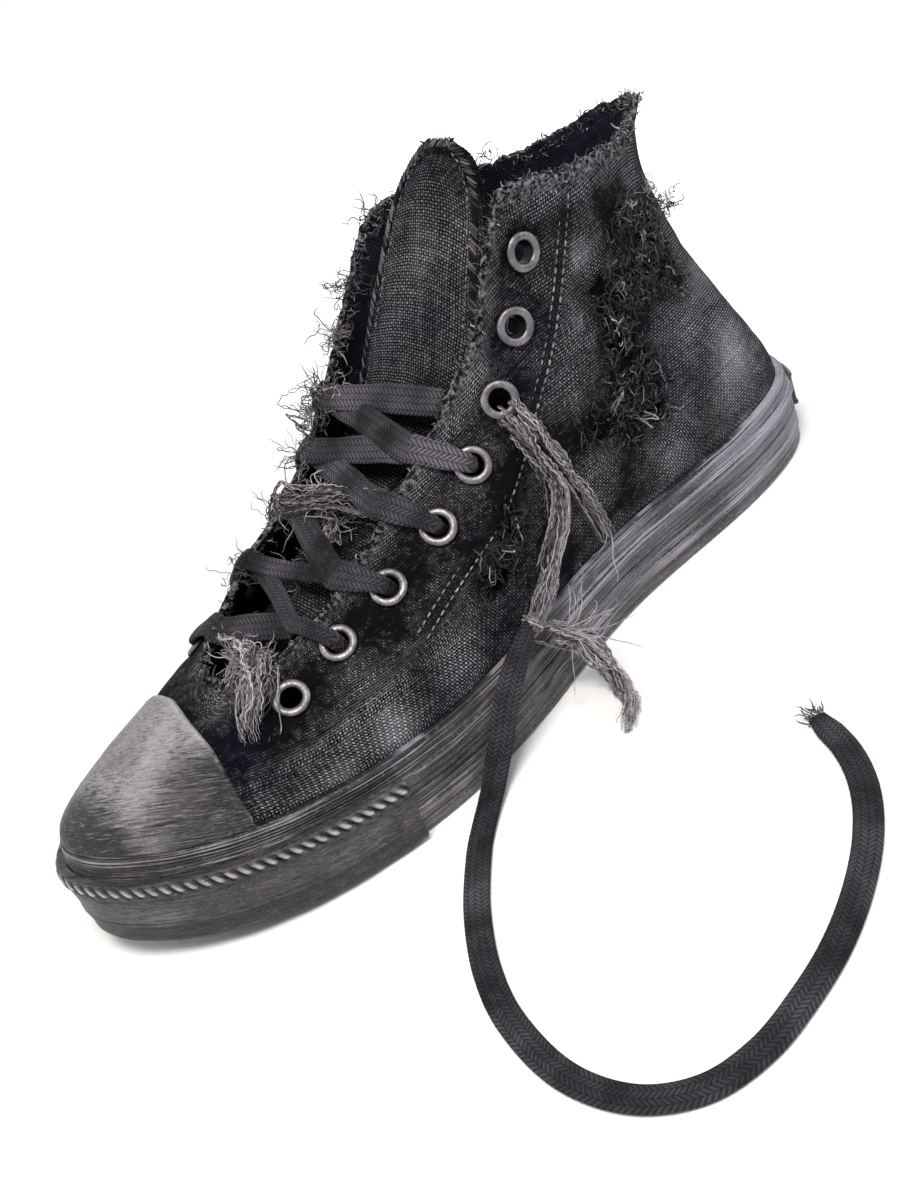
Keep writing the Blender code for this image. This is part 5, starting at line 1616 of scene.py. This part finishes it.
def build_stitches(tongue_line, tongue_inner, tongue_up):
    lines, ups = [], []
    for side in (1, -1):
        seam = SEAM if side > 0 else tuple((x - 3, z - 2) for x, z in SEAM[2:-2])
        for shift in (-1.3, 1.5):
            line, up = surface_line(seam, side, 0.75 if shift < 0 else 0.55, shift)
            lines.append(line)
            ups.append(up)
    stitch_lines("seam_stitches", lines, ups, THREAD, "lace_cord", pitch=2.4, length=1.8, width=0.55,
                 height=0.8, tint=0.36)
    arc = ((224.1, 18.1, 48.8), (219.7, 16, 50.6), (215.9, 17.1, 51.4), (213.2, 20.1, 50.9),
           (212.7, 24, 49.5))
    front = ((231.2, -0.8, 45.4), (236, 9, 46.8), (239.9, 16.1, 46.3), (244.9, 23.7, 43),
             (247.5, 28.5, 38.2))
    made = [top_line(arc, 0.25), top_line(front, 0.2)]
    stitch_lines("vamp_stitches", [m[0] for m in made], [m[1] for m in made], THREAD, "lace_cord",
                 pitch=2, length=1.4, width=0.38, height=0.3, tint=0.3)
    stitch_lines("tongue_binding", [tongue_line + tongue_up * 0.25], [tongue_up], THREAD, "lace_cord",
                 pitch=1, length=3.9, width=0.72, height=0.6, angle=0.8, uneven=0.06, tint=0.05)
    stitch_lines("tongue_line", [tongue_inner + tongue_up * 0.1], [tongue_up], THREAD, "lace_cord",
                 pitch=2.1, length=1.5, width=0.4, height=0.3, angle=0, uneven=0.25, tint=0.3)


# -------------------- eyelets

def eyelet_tree():
    """Geometry Nodes: a rolled rim and its barrel at every point, square to the canvas."""
    tree, add = new_tree("eyelets", ("Rim Radius", "Rim Half Width", "Rim Half Height", "Rim Lift",
                                     "Barrel Radius", "Barrel Wall", "Barrel Depth"))
    source = add("NodeGroupInput", out=None).outputs
    roll = add("GeometryNodeCurvePrimitiveCircle", Resolution=14, Radius=1)
    roll_size = add("CombineXYZ", source["Rim Half Width"], source["Rim Half Height"], 1)
    section = add("GeometryNodeTransform", Geometry=roll, Scale=roll_size)
    wall = add("GeometryNodeCurvePrimitiveQuadrilateral", Width=source["Barrel Wall"],
               Height=source["Barrel Depth"])
    sunk = add("Math", source["Barrel Depth"], -0.35, operation="MULTIPLY")
    rings = []
    for label, profile, lift in (("Barrel", wall, sunk), ("Rim", section, source["Rim Lift"])):
        path = add("GeometryNodeCurvePrimitiveCircle", Resolution=40, Radius=source[label + " Radius"])
        tube = add("GeometryNodeCurveToMesh", Curve=path, Profile_Curve=profile)
        shift = add("CombineXYZ", None, None, lift)
        rings.append(add("GeometryNodeTransform", Geometry=tube, Translation=shift))
    ring = add("GeometryNodeJoinGeometry", rings)
    spot = add("GeometryNodeInputPosition")
    level = add("SeparateXYZ", spot, out=2)
    crown = add("MapRange", level, 0.0008, 0.0015, 0, 1)
    rubbed = add("GeometryNodeStoreNamedAttribute", Geometry=ring, Name="wear", Value=crown,
        data_type="FLOAT", domain="POINT")
    out = add("GeometryNodeInputNamedAttribute", Name="out", data_type="FLOAT_VECTOR")
    facing = add("FunctionNodeAlignRotationToVector", Vector=out, axis="Z")
    placed = add("GeometryNodeInstanceOnPoints", Points=source["Geometry"], Instance=rubbed,
        Rotation=facing)
    return finish_tree(tree, add, placed, METAL)


def build_eyelets():
    """Rolled metal eyelets in all sixteen holes."""
    sizes = {"Rim Radius": 4.15, "Rim Half Width": 1.25, "Rim Half Height": 0.95, "Rim Lift": 0.75,
             "Barrel Radius": 3.2, "Barrel Wall": 0.6, "Barrel Depth": 3.4}
    item = grown("eyelet_rings", eyelet_tree(),
                 {key: size * MM for key, size in sizes.items()}, [spot for spot, _ in SEATS], [],
                 {"out": [out for _, out in SEATS]})
    item.data.set_sharp_from_angle(angle=math.radians(50))
    names = [f"eyelet_{label}_{n}" for label in ("lateral", "medial") for n in range(1, 9)]
    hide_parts(*names)


# -------------------- laces

def throat_edge(side, x):
    """Point on the throat's edge at station x, on one side."""
    fine = np.linspace(0.235, 0.46, 200) if side > 0 else np.linspace(0.79, 0.56, 200)
    top = shell_point(fine, np.ones(len(fine)))
    return np.array([x, np.interp(x, top[:, 0], top[:, 1]), np.interp(x, top[:, 0], top[:, 2])])


def throat_normal(x):
    slope = throat_edge(1, x + 4)[2] - throat_edge(1, x - 4)[2]
    slope += throat_edge(-1, x + 4)[2] - throat_edge(-1, x - 4)[2]
    normal = np.array([-slope / 16, 0, 1.0])
    return normal / norm(normal)


def build_laces():
    """The flat plaited lace: strands out of the eyelets, over the throat's edges and across."""
    parts, wear = [], []
    before = throat_edge(1, LACE_FIRST_END)
    before = before + [0, -3.5, 0.0] - throat_normal(LACE_FIRST_END) * LACE_TUCK
    random = np.random.default_rng(17)
    for number, (side, hole_number, x) in enumerate(STRANDS):
        hole = (LATERAL_HOLES if side > 0 else MEDIAL_HOLES)[hole_number - 1]
        seat, out = surface_at(*hole, side)
        edge = throat_edge(side, x)
        up = throat_normal(x)
        brow = unit(out + up)
        inner = edge + up * (LACE_OVER_EDGE - 0.4) - [0, side * 5, 0.0]
        toward = unit(edge - seat)
        keys = [seat - out * 3.2 - toward * 0.6, seat + out * 0.6 + toward * 0.4,
                seat + out * 2.9 + toward * 2.6, edge + brow * LACE_OVER_EDGE, inner,
                (inner + before) / 2 + up * random.uniform(-0.2, 0.9) + [random.uniform(-1, 1), 0, 0],
                before]
        path = smooth_path(keys, 12)
        share = np.linspace(0, 6, len(path))
        lean = np.array([toward, toward * 0.6 + out * 0.5, out, brow, up,
                         up + np.array([0.15, 0.12 * side, 0]), throat_normal(before[0])])
        normals = np.stack([np.interp(share, range(7), lean[:, k]) for k in range(3)], axis=1)
        normals += 0.10 * wobble(path, 14, 50 + number)[:, None] * [1, 0.3, 0.0]
        widths = np.interp(share, [0, 1, 2, 2.8, 6], [4.2, 4.6, 5.6, LACE_WIDTH - 0.4, LACE_WIDTH])
        widths = widths * (1 + 0.05 * wobble(path, 11, 60 + number))
        if number in (6, 7):
            widths = np.interp(share, [0, 1, 2, 3.2, 6], [4.2, 4.6, 4.8, 5.2, 5.6])
        thick = np.interp(share, [0, 1.2, 2.4, 6], [3.6, 3.2, 1.9, 1.55])
        parts.append(strip(path, normals, widths, thick))
        rub = 0.18 + 0.2 * wobble(path, 20, 70 + number)
        if number == 1:
            rub = rub + 0.85 * np.exp(-((share - 2.4) / 0.7) ** 2)
        if number in (0, 3):
            rub = rub + 0.3 * np.exp(-((share - 4.6) / 0.8) ** 2)
        wear.append(np.repeat(np.clip(rub, 0, 1), 14))
        before = inner - up * 1.9
        if number == 4:
            parts.pop()
            wear.pop()
            worn = path[20:]
    points, faces, uv = join(parts)
    item = piece("lace_strands", points, faces, [BRAID], "lace_cord", uv,
                 {"wear": np.concatenate(wear)}, sharp=0)
    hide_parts("lace_zigzag")
    lines = yarns(worn, 8, 6, 2.4, 33, wave=1, splay=1)
    tints = random.uniform(0.3, 1.1, len(lines)) * random.choice((0.1, 0.6, 1), len(lines))
    thread_piece("worn_through_strand", lines, random.uniform(0.1, 0.28, len(lines)), tints, THREAD)


def cord_length(path):
    return float(np.sum(norm(np.diff(world(path), axis=0), axis=1)))


def clamp_to(lines, path, limit):
    """Pulls stray points of the threads back to within limit of their path."""
    flat = lines.reshape(-1, 3)
    away = norm(flat[:, None] - path[None], axis=2)
    close = path[np.argmin(away, axis=1)]
    off = flat - close
    far = norm(off, axis=1)[:, None] + 1e-9
    flat = close + off * np.minimum(1, limit / far)
    flat[:, 2] = np.maximum(flat[:, 2], 0.3)
    return flat.reshape(lines.shape)


def fray_cord(name, node, keys, count, spread, seed, tint, wave, splay, limit=4.2):
    """A lace end come apart: threads that run together along a path."""
    path = smooth_path(keys, 6)
    longer = np.vstack([path, path[-1] + unit(path[-1] - path[-2]) * 3.0])
    each = 7
    lines = clamp_to(yarns(longer, count // each, each, spread, seed, wave, splay), path, limit)
    count = len(lines)
    random = np.random.default_rng(seed)
    tints = random.uniform(*tint, count) * random.choice((0.12, 0.4, 0.7, 1, 1), count)
    item = thread_piece(name, lines, random.uniform(0.09, 0.27, count), tints, THREAD)
    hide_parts(node)
    cord_length(path)


def build_loose_lace():
    """The long flat end that leaves the knot, hangs over the foxing and lies on the floor."""
    path = smooth_path(LOOSE_END, 10)
    run = run_along(path)
    sunk = path[:, 2] - 1.45 * np.clip((8 - path[:, 2]) / 5, 0, 1)
    path[:, 2] = np.where(path[:, 2] < 8, np.maximum(0.95, sunk), path[:, 2])
    rise = np.clip((path[:, 2] - 1.2) / 12, 0, 1)[:, None]
    normals = rise * np.array([0.25, 0.85, 0.35]) + (1 - rise) * np.array([0, 0, 1.0])
    normals[:, 0] += 0.22 * np.sin(run / 19) * rise[:, 0]
    widths = np.interp(run, [0, 6, 16, run[-1] - 6, run[-1]], [4.4, 5, 7, 7.2, 5.0])
    points, faces, uv = strip(path, normals, widths, np.interp(run, [0, 10, 20], [2.6, 1.8, 1.5]))
    points[:, 2] = np.maximum(points[:, 2], 0.05)
    rub = np.clip(0.12 + 0.2 * wobble(path, 26, 81), 0, 1)
    item = piece("loose_lace", points, faces, [DARK_BRAID], "lace_cord", uv,
                 {"wear": np.repeat(rub, 14)}, sharp=0)
    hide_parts("lace_loose_end")
    centre = np.array([159.6, 42.2, 29.4])
    random = np.random.default_rng(23)
    wraps = []
    for _ in range(70):
        axis = unit(random.normal(size=3))
        side = unit(np.cross(axis, [0.3, 0.5, 0.8]))
        other = np.cross(axis, side)
        radius = random.uniform(1.6, 3.3)
        turn = np.linspace(0, random.uniform(3, 7), 18)[:, None]
        wraps.append(centre + axis * random.normal() * 0.5
                     + radius * (np.cos(turn) * side + np.sin(turn) * other * 0.8))
    knot = thread_piece("lace_knot", np.array(wraps), random.uniform(0.3, 0.5, 70),
                        random.uniform(0.15, 0.7, 70), THREAD)
    tip = path[-1]
    ways = np.array([-0.2, -1, 0.1]) + random.normal(size=(26, 3)) * 0.3
    ends = curly(tip + random.normal(size=(26, 3)) * [1.8, 0.5, 0.3], ways, random.uniform(2, 6, 26),
                 8, 0.25, 24)
    fringe = thread_piece("lace_tip_threads", ends, np.full(26, 0.2), random.uniform(0.1, 0.5, 26), THREAD)
    cord_length(path)


# -------------------- loose threads

TUFTS = (
    # x, y, z, way x, way y, way z, count, length, spread, curl, tint low, tint high, droop
    (158, -24, 91, -0.1, -1, 0.35, 70, 13, 2.6, 0.55, 0.05, 0.45, 0),
    (163, -23, 88, 0.1, -1, 0.1, 46, 11, 3, 0.6, 0.1, 0.6, 0.02),
    (156.5, -19, 92.5, -0.4, -0.7, 0.5, 34, 9, 2, 0.6, 0.3, 0.9, 0.02),
    (172, -21, 81, 0.2, -1, 0.1, 50, 12, 3, 0.5, 0.1, 0.6, 0.05),
    (178, -13, 71, 0.4, 0.9, -0.1, 90, 15, 3.2, 0.42, 0.45, 0.95, 0.04),
    (180, -4, 66, 0.5, 0.8, -0.2, 60, 11, 3, 0.5, 0.4, 0.9, 0.04),
    (186, -18, 70, 0.2, -1, 0, 60, 10, 4, 0.55, 0.05, 0.5, 0.05),
    (197, -8, 58, 0.5, 0.8, -0.1, 60, 12, 3.2, 0.55, 0.15, 0.7, 0.04),
    (203, -19, 61, 0.1, -1, 0.1, 50, 8, 5, 0.55, 0, 0.4, 0.05),
    (219, -12, 49, 0.6, 0.7, 0.1, 50, 10, 3, 0.5, 0.3, 1, 0.03),
    (222, -3, 49.5, 0.5, 1, 0, 90, 13, 3, 0.42, 0.3, 1.1, 0.03),
    (223, 6, 50, 0.45, 1, -0.1, 80, 13, 2.6, 0.4, 0.4, 1.1, 0.03),
    (118.4, 33.5, 31.8, 0, 0.35, -1, 2, 15, 0.3, 0.1, 0.8, 1.1, 0),
    (152.5, 44.8, 22.5, -0.75, 0.62, -0.12, 24, 20, 0.7, 0.13, 0.6, 1.2, 0.01),
    (151, 45.5, 20.5, -0.72, 0.62, -0.4, 20, 22, 0.8, 0.13, 0.5, 1.2, 0.02),
    (124, 28.6, 104, 0.5, -0.5, 0.5, 12, 6, 1.2, 0.6, 0.5, 0.9, 0),
    (118, -29, 127, 0.3, -1, 0.4, 40, 8, 4, 0.6, 0, 0.3, 0.02),
    (134, -28, 113, 0.4, -1, 0.1, 50, 9, 4, 0.6, 0, 0.35, 0.03),
    (144, -27, 103, 0.3, -1, 0.1, 60, 12, 3, 0.6, 0.1, 0.6, 0.03),
    (52, 11, 104, -0.7, 0.5, 0.3, 46, 8, 3, 0.6, 0, 0.9, 0.02),
    (76, -23, 126, 0.1, -0.4, 1, 12, 9, 3, 0.3, 0.2, 0.5, 0),
    (37, 1, 126, -0.3, 0.1, 1, 190, 2.6, 2.6, 0.7, 0, 0.6, 0),
    (46, 10, 97, -0.7, 0.6, 0.1, 120, 6, 4.5, 0.7, 0, 0.4, 0.02),
)


# Threads pulled out in loops
LOOPS = (
    # x, y, z, way x, way y, way z, reach, width, count, tint
    (222, 2, 50.6, 0.55, 1, -0.2, 17, 3.2, 9, 0.95),
    (224, 8, 50.6, 0.7, 1, -0.3, 15, 3.4, 9, 0.85),
    (220, -4, 50.6, 0.9, 0.7, -0.1, 12, 3, 8, 0.7),
    (176, -12, 70, 0.6, 0.9, -0.2, 12, 2.4, 8, 0.95),
    (181, -6, 66, 0.7, 0.8, -0.2, 10, 2.4, 8, 0.8),
    (158, 42.5, 31, -0.55, 0.25, 0.8, 11, 3.4, 2, 1.1),
    (160, -24, 90, 0.3, -1, -0.3, 15, 5.5, 2, 0.35),
    (166, -22, 85, 0.1, -1, 0.2, 9, 2.6, 7, 0.3),
    (93, 30.5, 56, -0.5, 0.2, -0.8, 7, 2, 7, 0.9),
    (104, 31.5, 63, -0.8, 0.2, 0.4, 6, 2, 6, 0.7),
    (160, 36.5, 54, -0.7, 0.3, -0.4, 6, 1.8, 6, 0.6),
)


def loop_lines():
    lines, tints = [], []
    random = np.random.default_rng(300)
    turn = np.linspace(0, 1, 22)[:, None]
    for row in LOOPS:
        start, way = np.array(row[0:3]), unit(np.array(row[3:6]))
        reach, width, count, tint = row[6:]
        for _ in range(int(count)):
            here = way + random.normal(size=3) * 0.22
            side = unit(np.cross(here, random.normal(size=3) * 0.5 + [0.3, 0.2, 1.0]))
            bow = random.uniform(0.5, 1.15)
            line = start + random.normal(size=3) * 0.8 + here * reach * bow * np.sin(math.pi * turn) ** 0.8
            line = line + side * width * bow * (turn - 0.5) * 1.4
            lines.append(line + 0.35 * wobble(line, 4.0, int(random.integers(1000)))[:, None] * side)
            tints.append(tint * random.uniform(0.5, 1.15))
    return np.array(lines), np.array(tints)


def build_tufts():
    groups = []
    for number, row in enumerate(TUFTS):
        start, way = np.array(row[0:3]), np.array(row[3:6])
        count, length, spread, curl, low, high, droop = row[6:]
        count = max(2, int(count * 0.9))
        random = np.random.default_rng(100 + number)
        starts = start + random.normal(size=(count, 3)) * spread * [0.6, 0.6, 0.25]
        ways = unit(way) + random.normal(size=(count, 3)) * 0.35
        lengths = length * random.uniform(0.4, 1.15, count)
        lines = curly(starts, ways, lengths, 16, curl, 200 + number, droop)
        groups.append((lines, random.uniform(0.08, 0.21, count), random.uniform(low, high, count)))
    bows, shades = loop_lines()
    random = np.random.default_rng(301)
    thread_piece("thread_loops", bows, random.uniform(0.12, 0.28, len(bows)), shades, THREAD)
    lines = np.concatenate([g[0] for g in groups])
    thread_piece("frayed_tufts", lines, np.concatenate([g[1] for g in groups]),
                 np.concatenate([g[2] for g in groups]), THREAD)


def build_edge_fuzz():
    """Short threads along the raw collar and throat, and longer stray ones."""
    random = np.random.default_rng(61)
    count = 2300
    columns = random.integers(0, COLUMNS, count)
    grid, normal = OUTER, NORMAL
    row = len(grid) - 1 - np.minimum(random.integers(0, 4, count), 3)
    start = grid[row, columns] + normal[row, columns] * random.uniform(-1.6, 1.0, count)[:, None]
    up = unit(grid[-1, columns] - grid[-4, columns])
    way = up * random.uniform(-0.2, 1.0, count)[:, None] + normal[row, columns] * random.uniform(
        -0.6, 1.0, count)[:, None] + random.normal(size=(count, 3)) * 0.5
    keep = start[:, 0] < 233
    length = random.uniform(0.9, 3.2, count) * np.where(random.random(count) < 0.07, 2.2, 1.0)
    lines = curly(start[keep], way[keep], length[keep], 7, 0.5, 62)
    tint = np.where(random.random(count) < 0.2, random.uniform(0.35, 0.8, count),
                    random.uniform(0.0, 0.3, count))[keep]
    thread_piece("raw_edge_fuzz", lines, random.uniform(0.13, 0.24, keep.sum()), tint, THREAD)


def build_torn_threads():
    """Curled threads over the worn-through places of the outer side."""
    random = np.random.default_rng(71)
    grid = OUTER.reshape(-1, 3)
    normal = NORMAL.reshape(-1, 3)
    torn = torn_amount(grid, 1.1)
    for x, z, long_half, high_half, turn in TEARS:
        torn = torn * (turned_blob(grid, x, z, long_half, high_half, turn) <= 0)
    pool = np.nonzero(torn > 0.05)[0]
    share = torn[pool] + 0.05
    pick = random.choice(pool, 1900, p=share / share.sum())
    starts = grid[pick] + random.normal(size=(len(pick), 3)) * 0.9 + normal[pick] * random.uniform(
        0.2, 1.4, len(pick))[:, None]
    way = random.normal(size=(len(pick), 3))
    way -= normal[pick] * np.sum(way * normal[pick], axis=1)[:, None] * 0.75
    way += normal[pick] * 0.25 + np.array([0.0, 0.0, -0.2])
    length = random.uniform(2.0, 9.0, len(pick))
    lines = curly(starts, way, length, 11, 0.36, 72, droop=0.04)
    flat = lines.reshape(-1, 3)
    for k in range(len(flat)):
        spot, out = nearest(flat[k])
        gap = (flat[k] - spot) @ out
        flat[k] += out * (np.clip(gap, 0.15, 2.6) - gap)
    lines = flat.reshape(lines.shape)
    kind = random.random(len(pick))
    dark, grey = random.uniform(0.0, 0.10, len(pick)), random.uniform(0.12, 0.26, len(pick))
    tint = np.where(kind < 0.78, dark, grey)
    tint = np.where(kind > 0.96, random.uniform(0.4, 0.9, len(pick)), tint)
    thread_piece("torn_threads", lines, random.uniform(0.10, 0.26, len(pick)), tint, THREAD)


build_upper()
build_foxing()
build_bumper()
build_cap()
build_insole()
build_outsole()
build_heel_parts()
build_stitches(*build_tongue())
build_eyelets()
build_laces()
build_loose_lace()
fray_cord("fray_to_knot", "lace_fray_to_knot", FRAY_TO_KNOT, 84, 2.4, 91, (0.55, 1.1), splay=0.8,
          wave=1.1)
fray_cord("fray_short_branch", "lace_fray_short", FRAY_SHORT, 77, 2.4, 92, (0.5, 1.1), splay=1.6,
          wave=1.1)
fray_cord("fray_side_branch", "lace_fray_side", FRAY_SIDE, 70, 2.2, 93, (0.7, 1.2), splay=2.4,
          wave=1.2)
fray_cord("fray_toe_tuft", "lace_fray_toe", FRAY_TOE, 98, 3.2, 94, (0.6, 1.15), splay=2.8, wave=2.0,
          limit=5.6)
build_tufts()
build_edge_fuzz()
build_torn_threads()
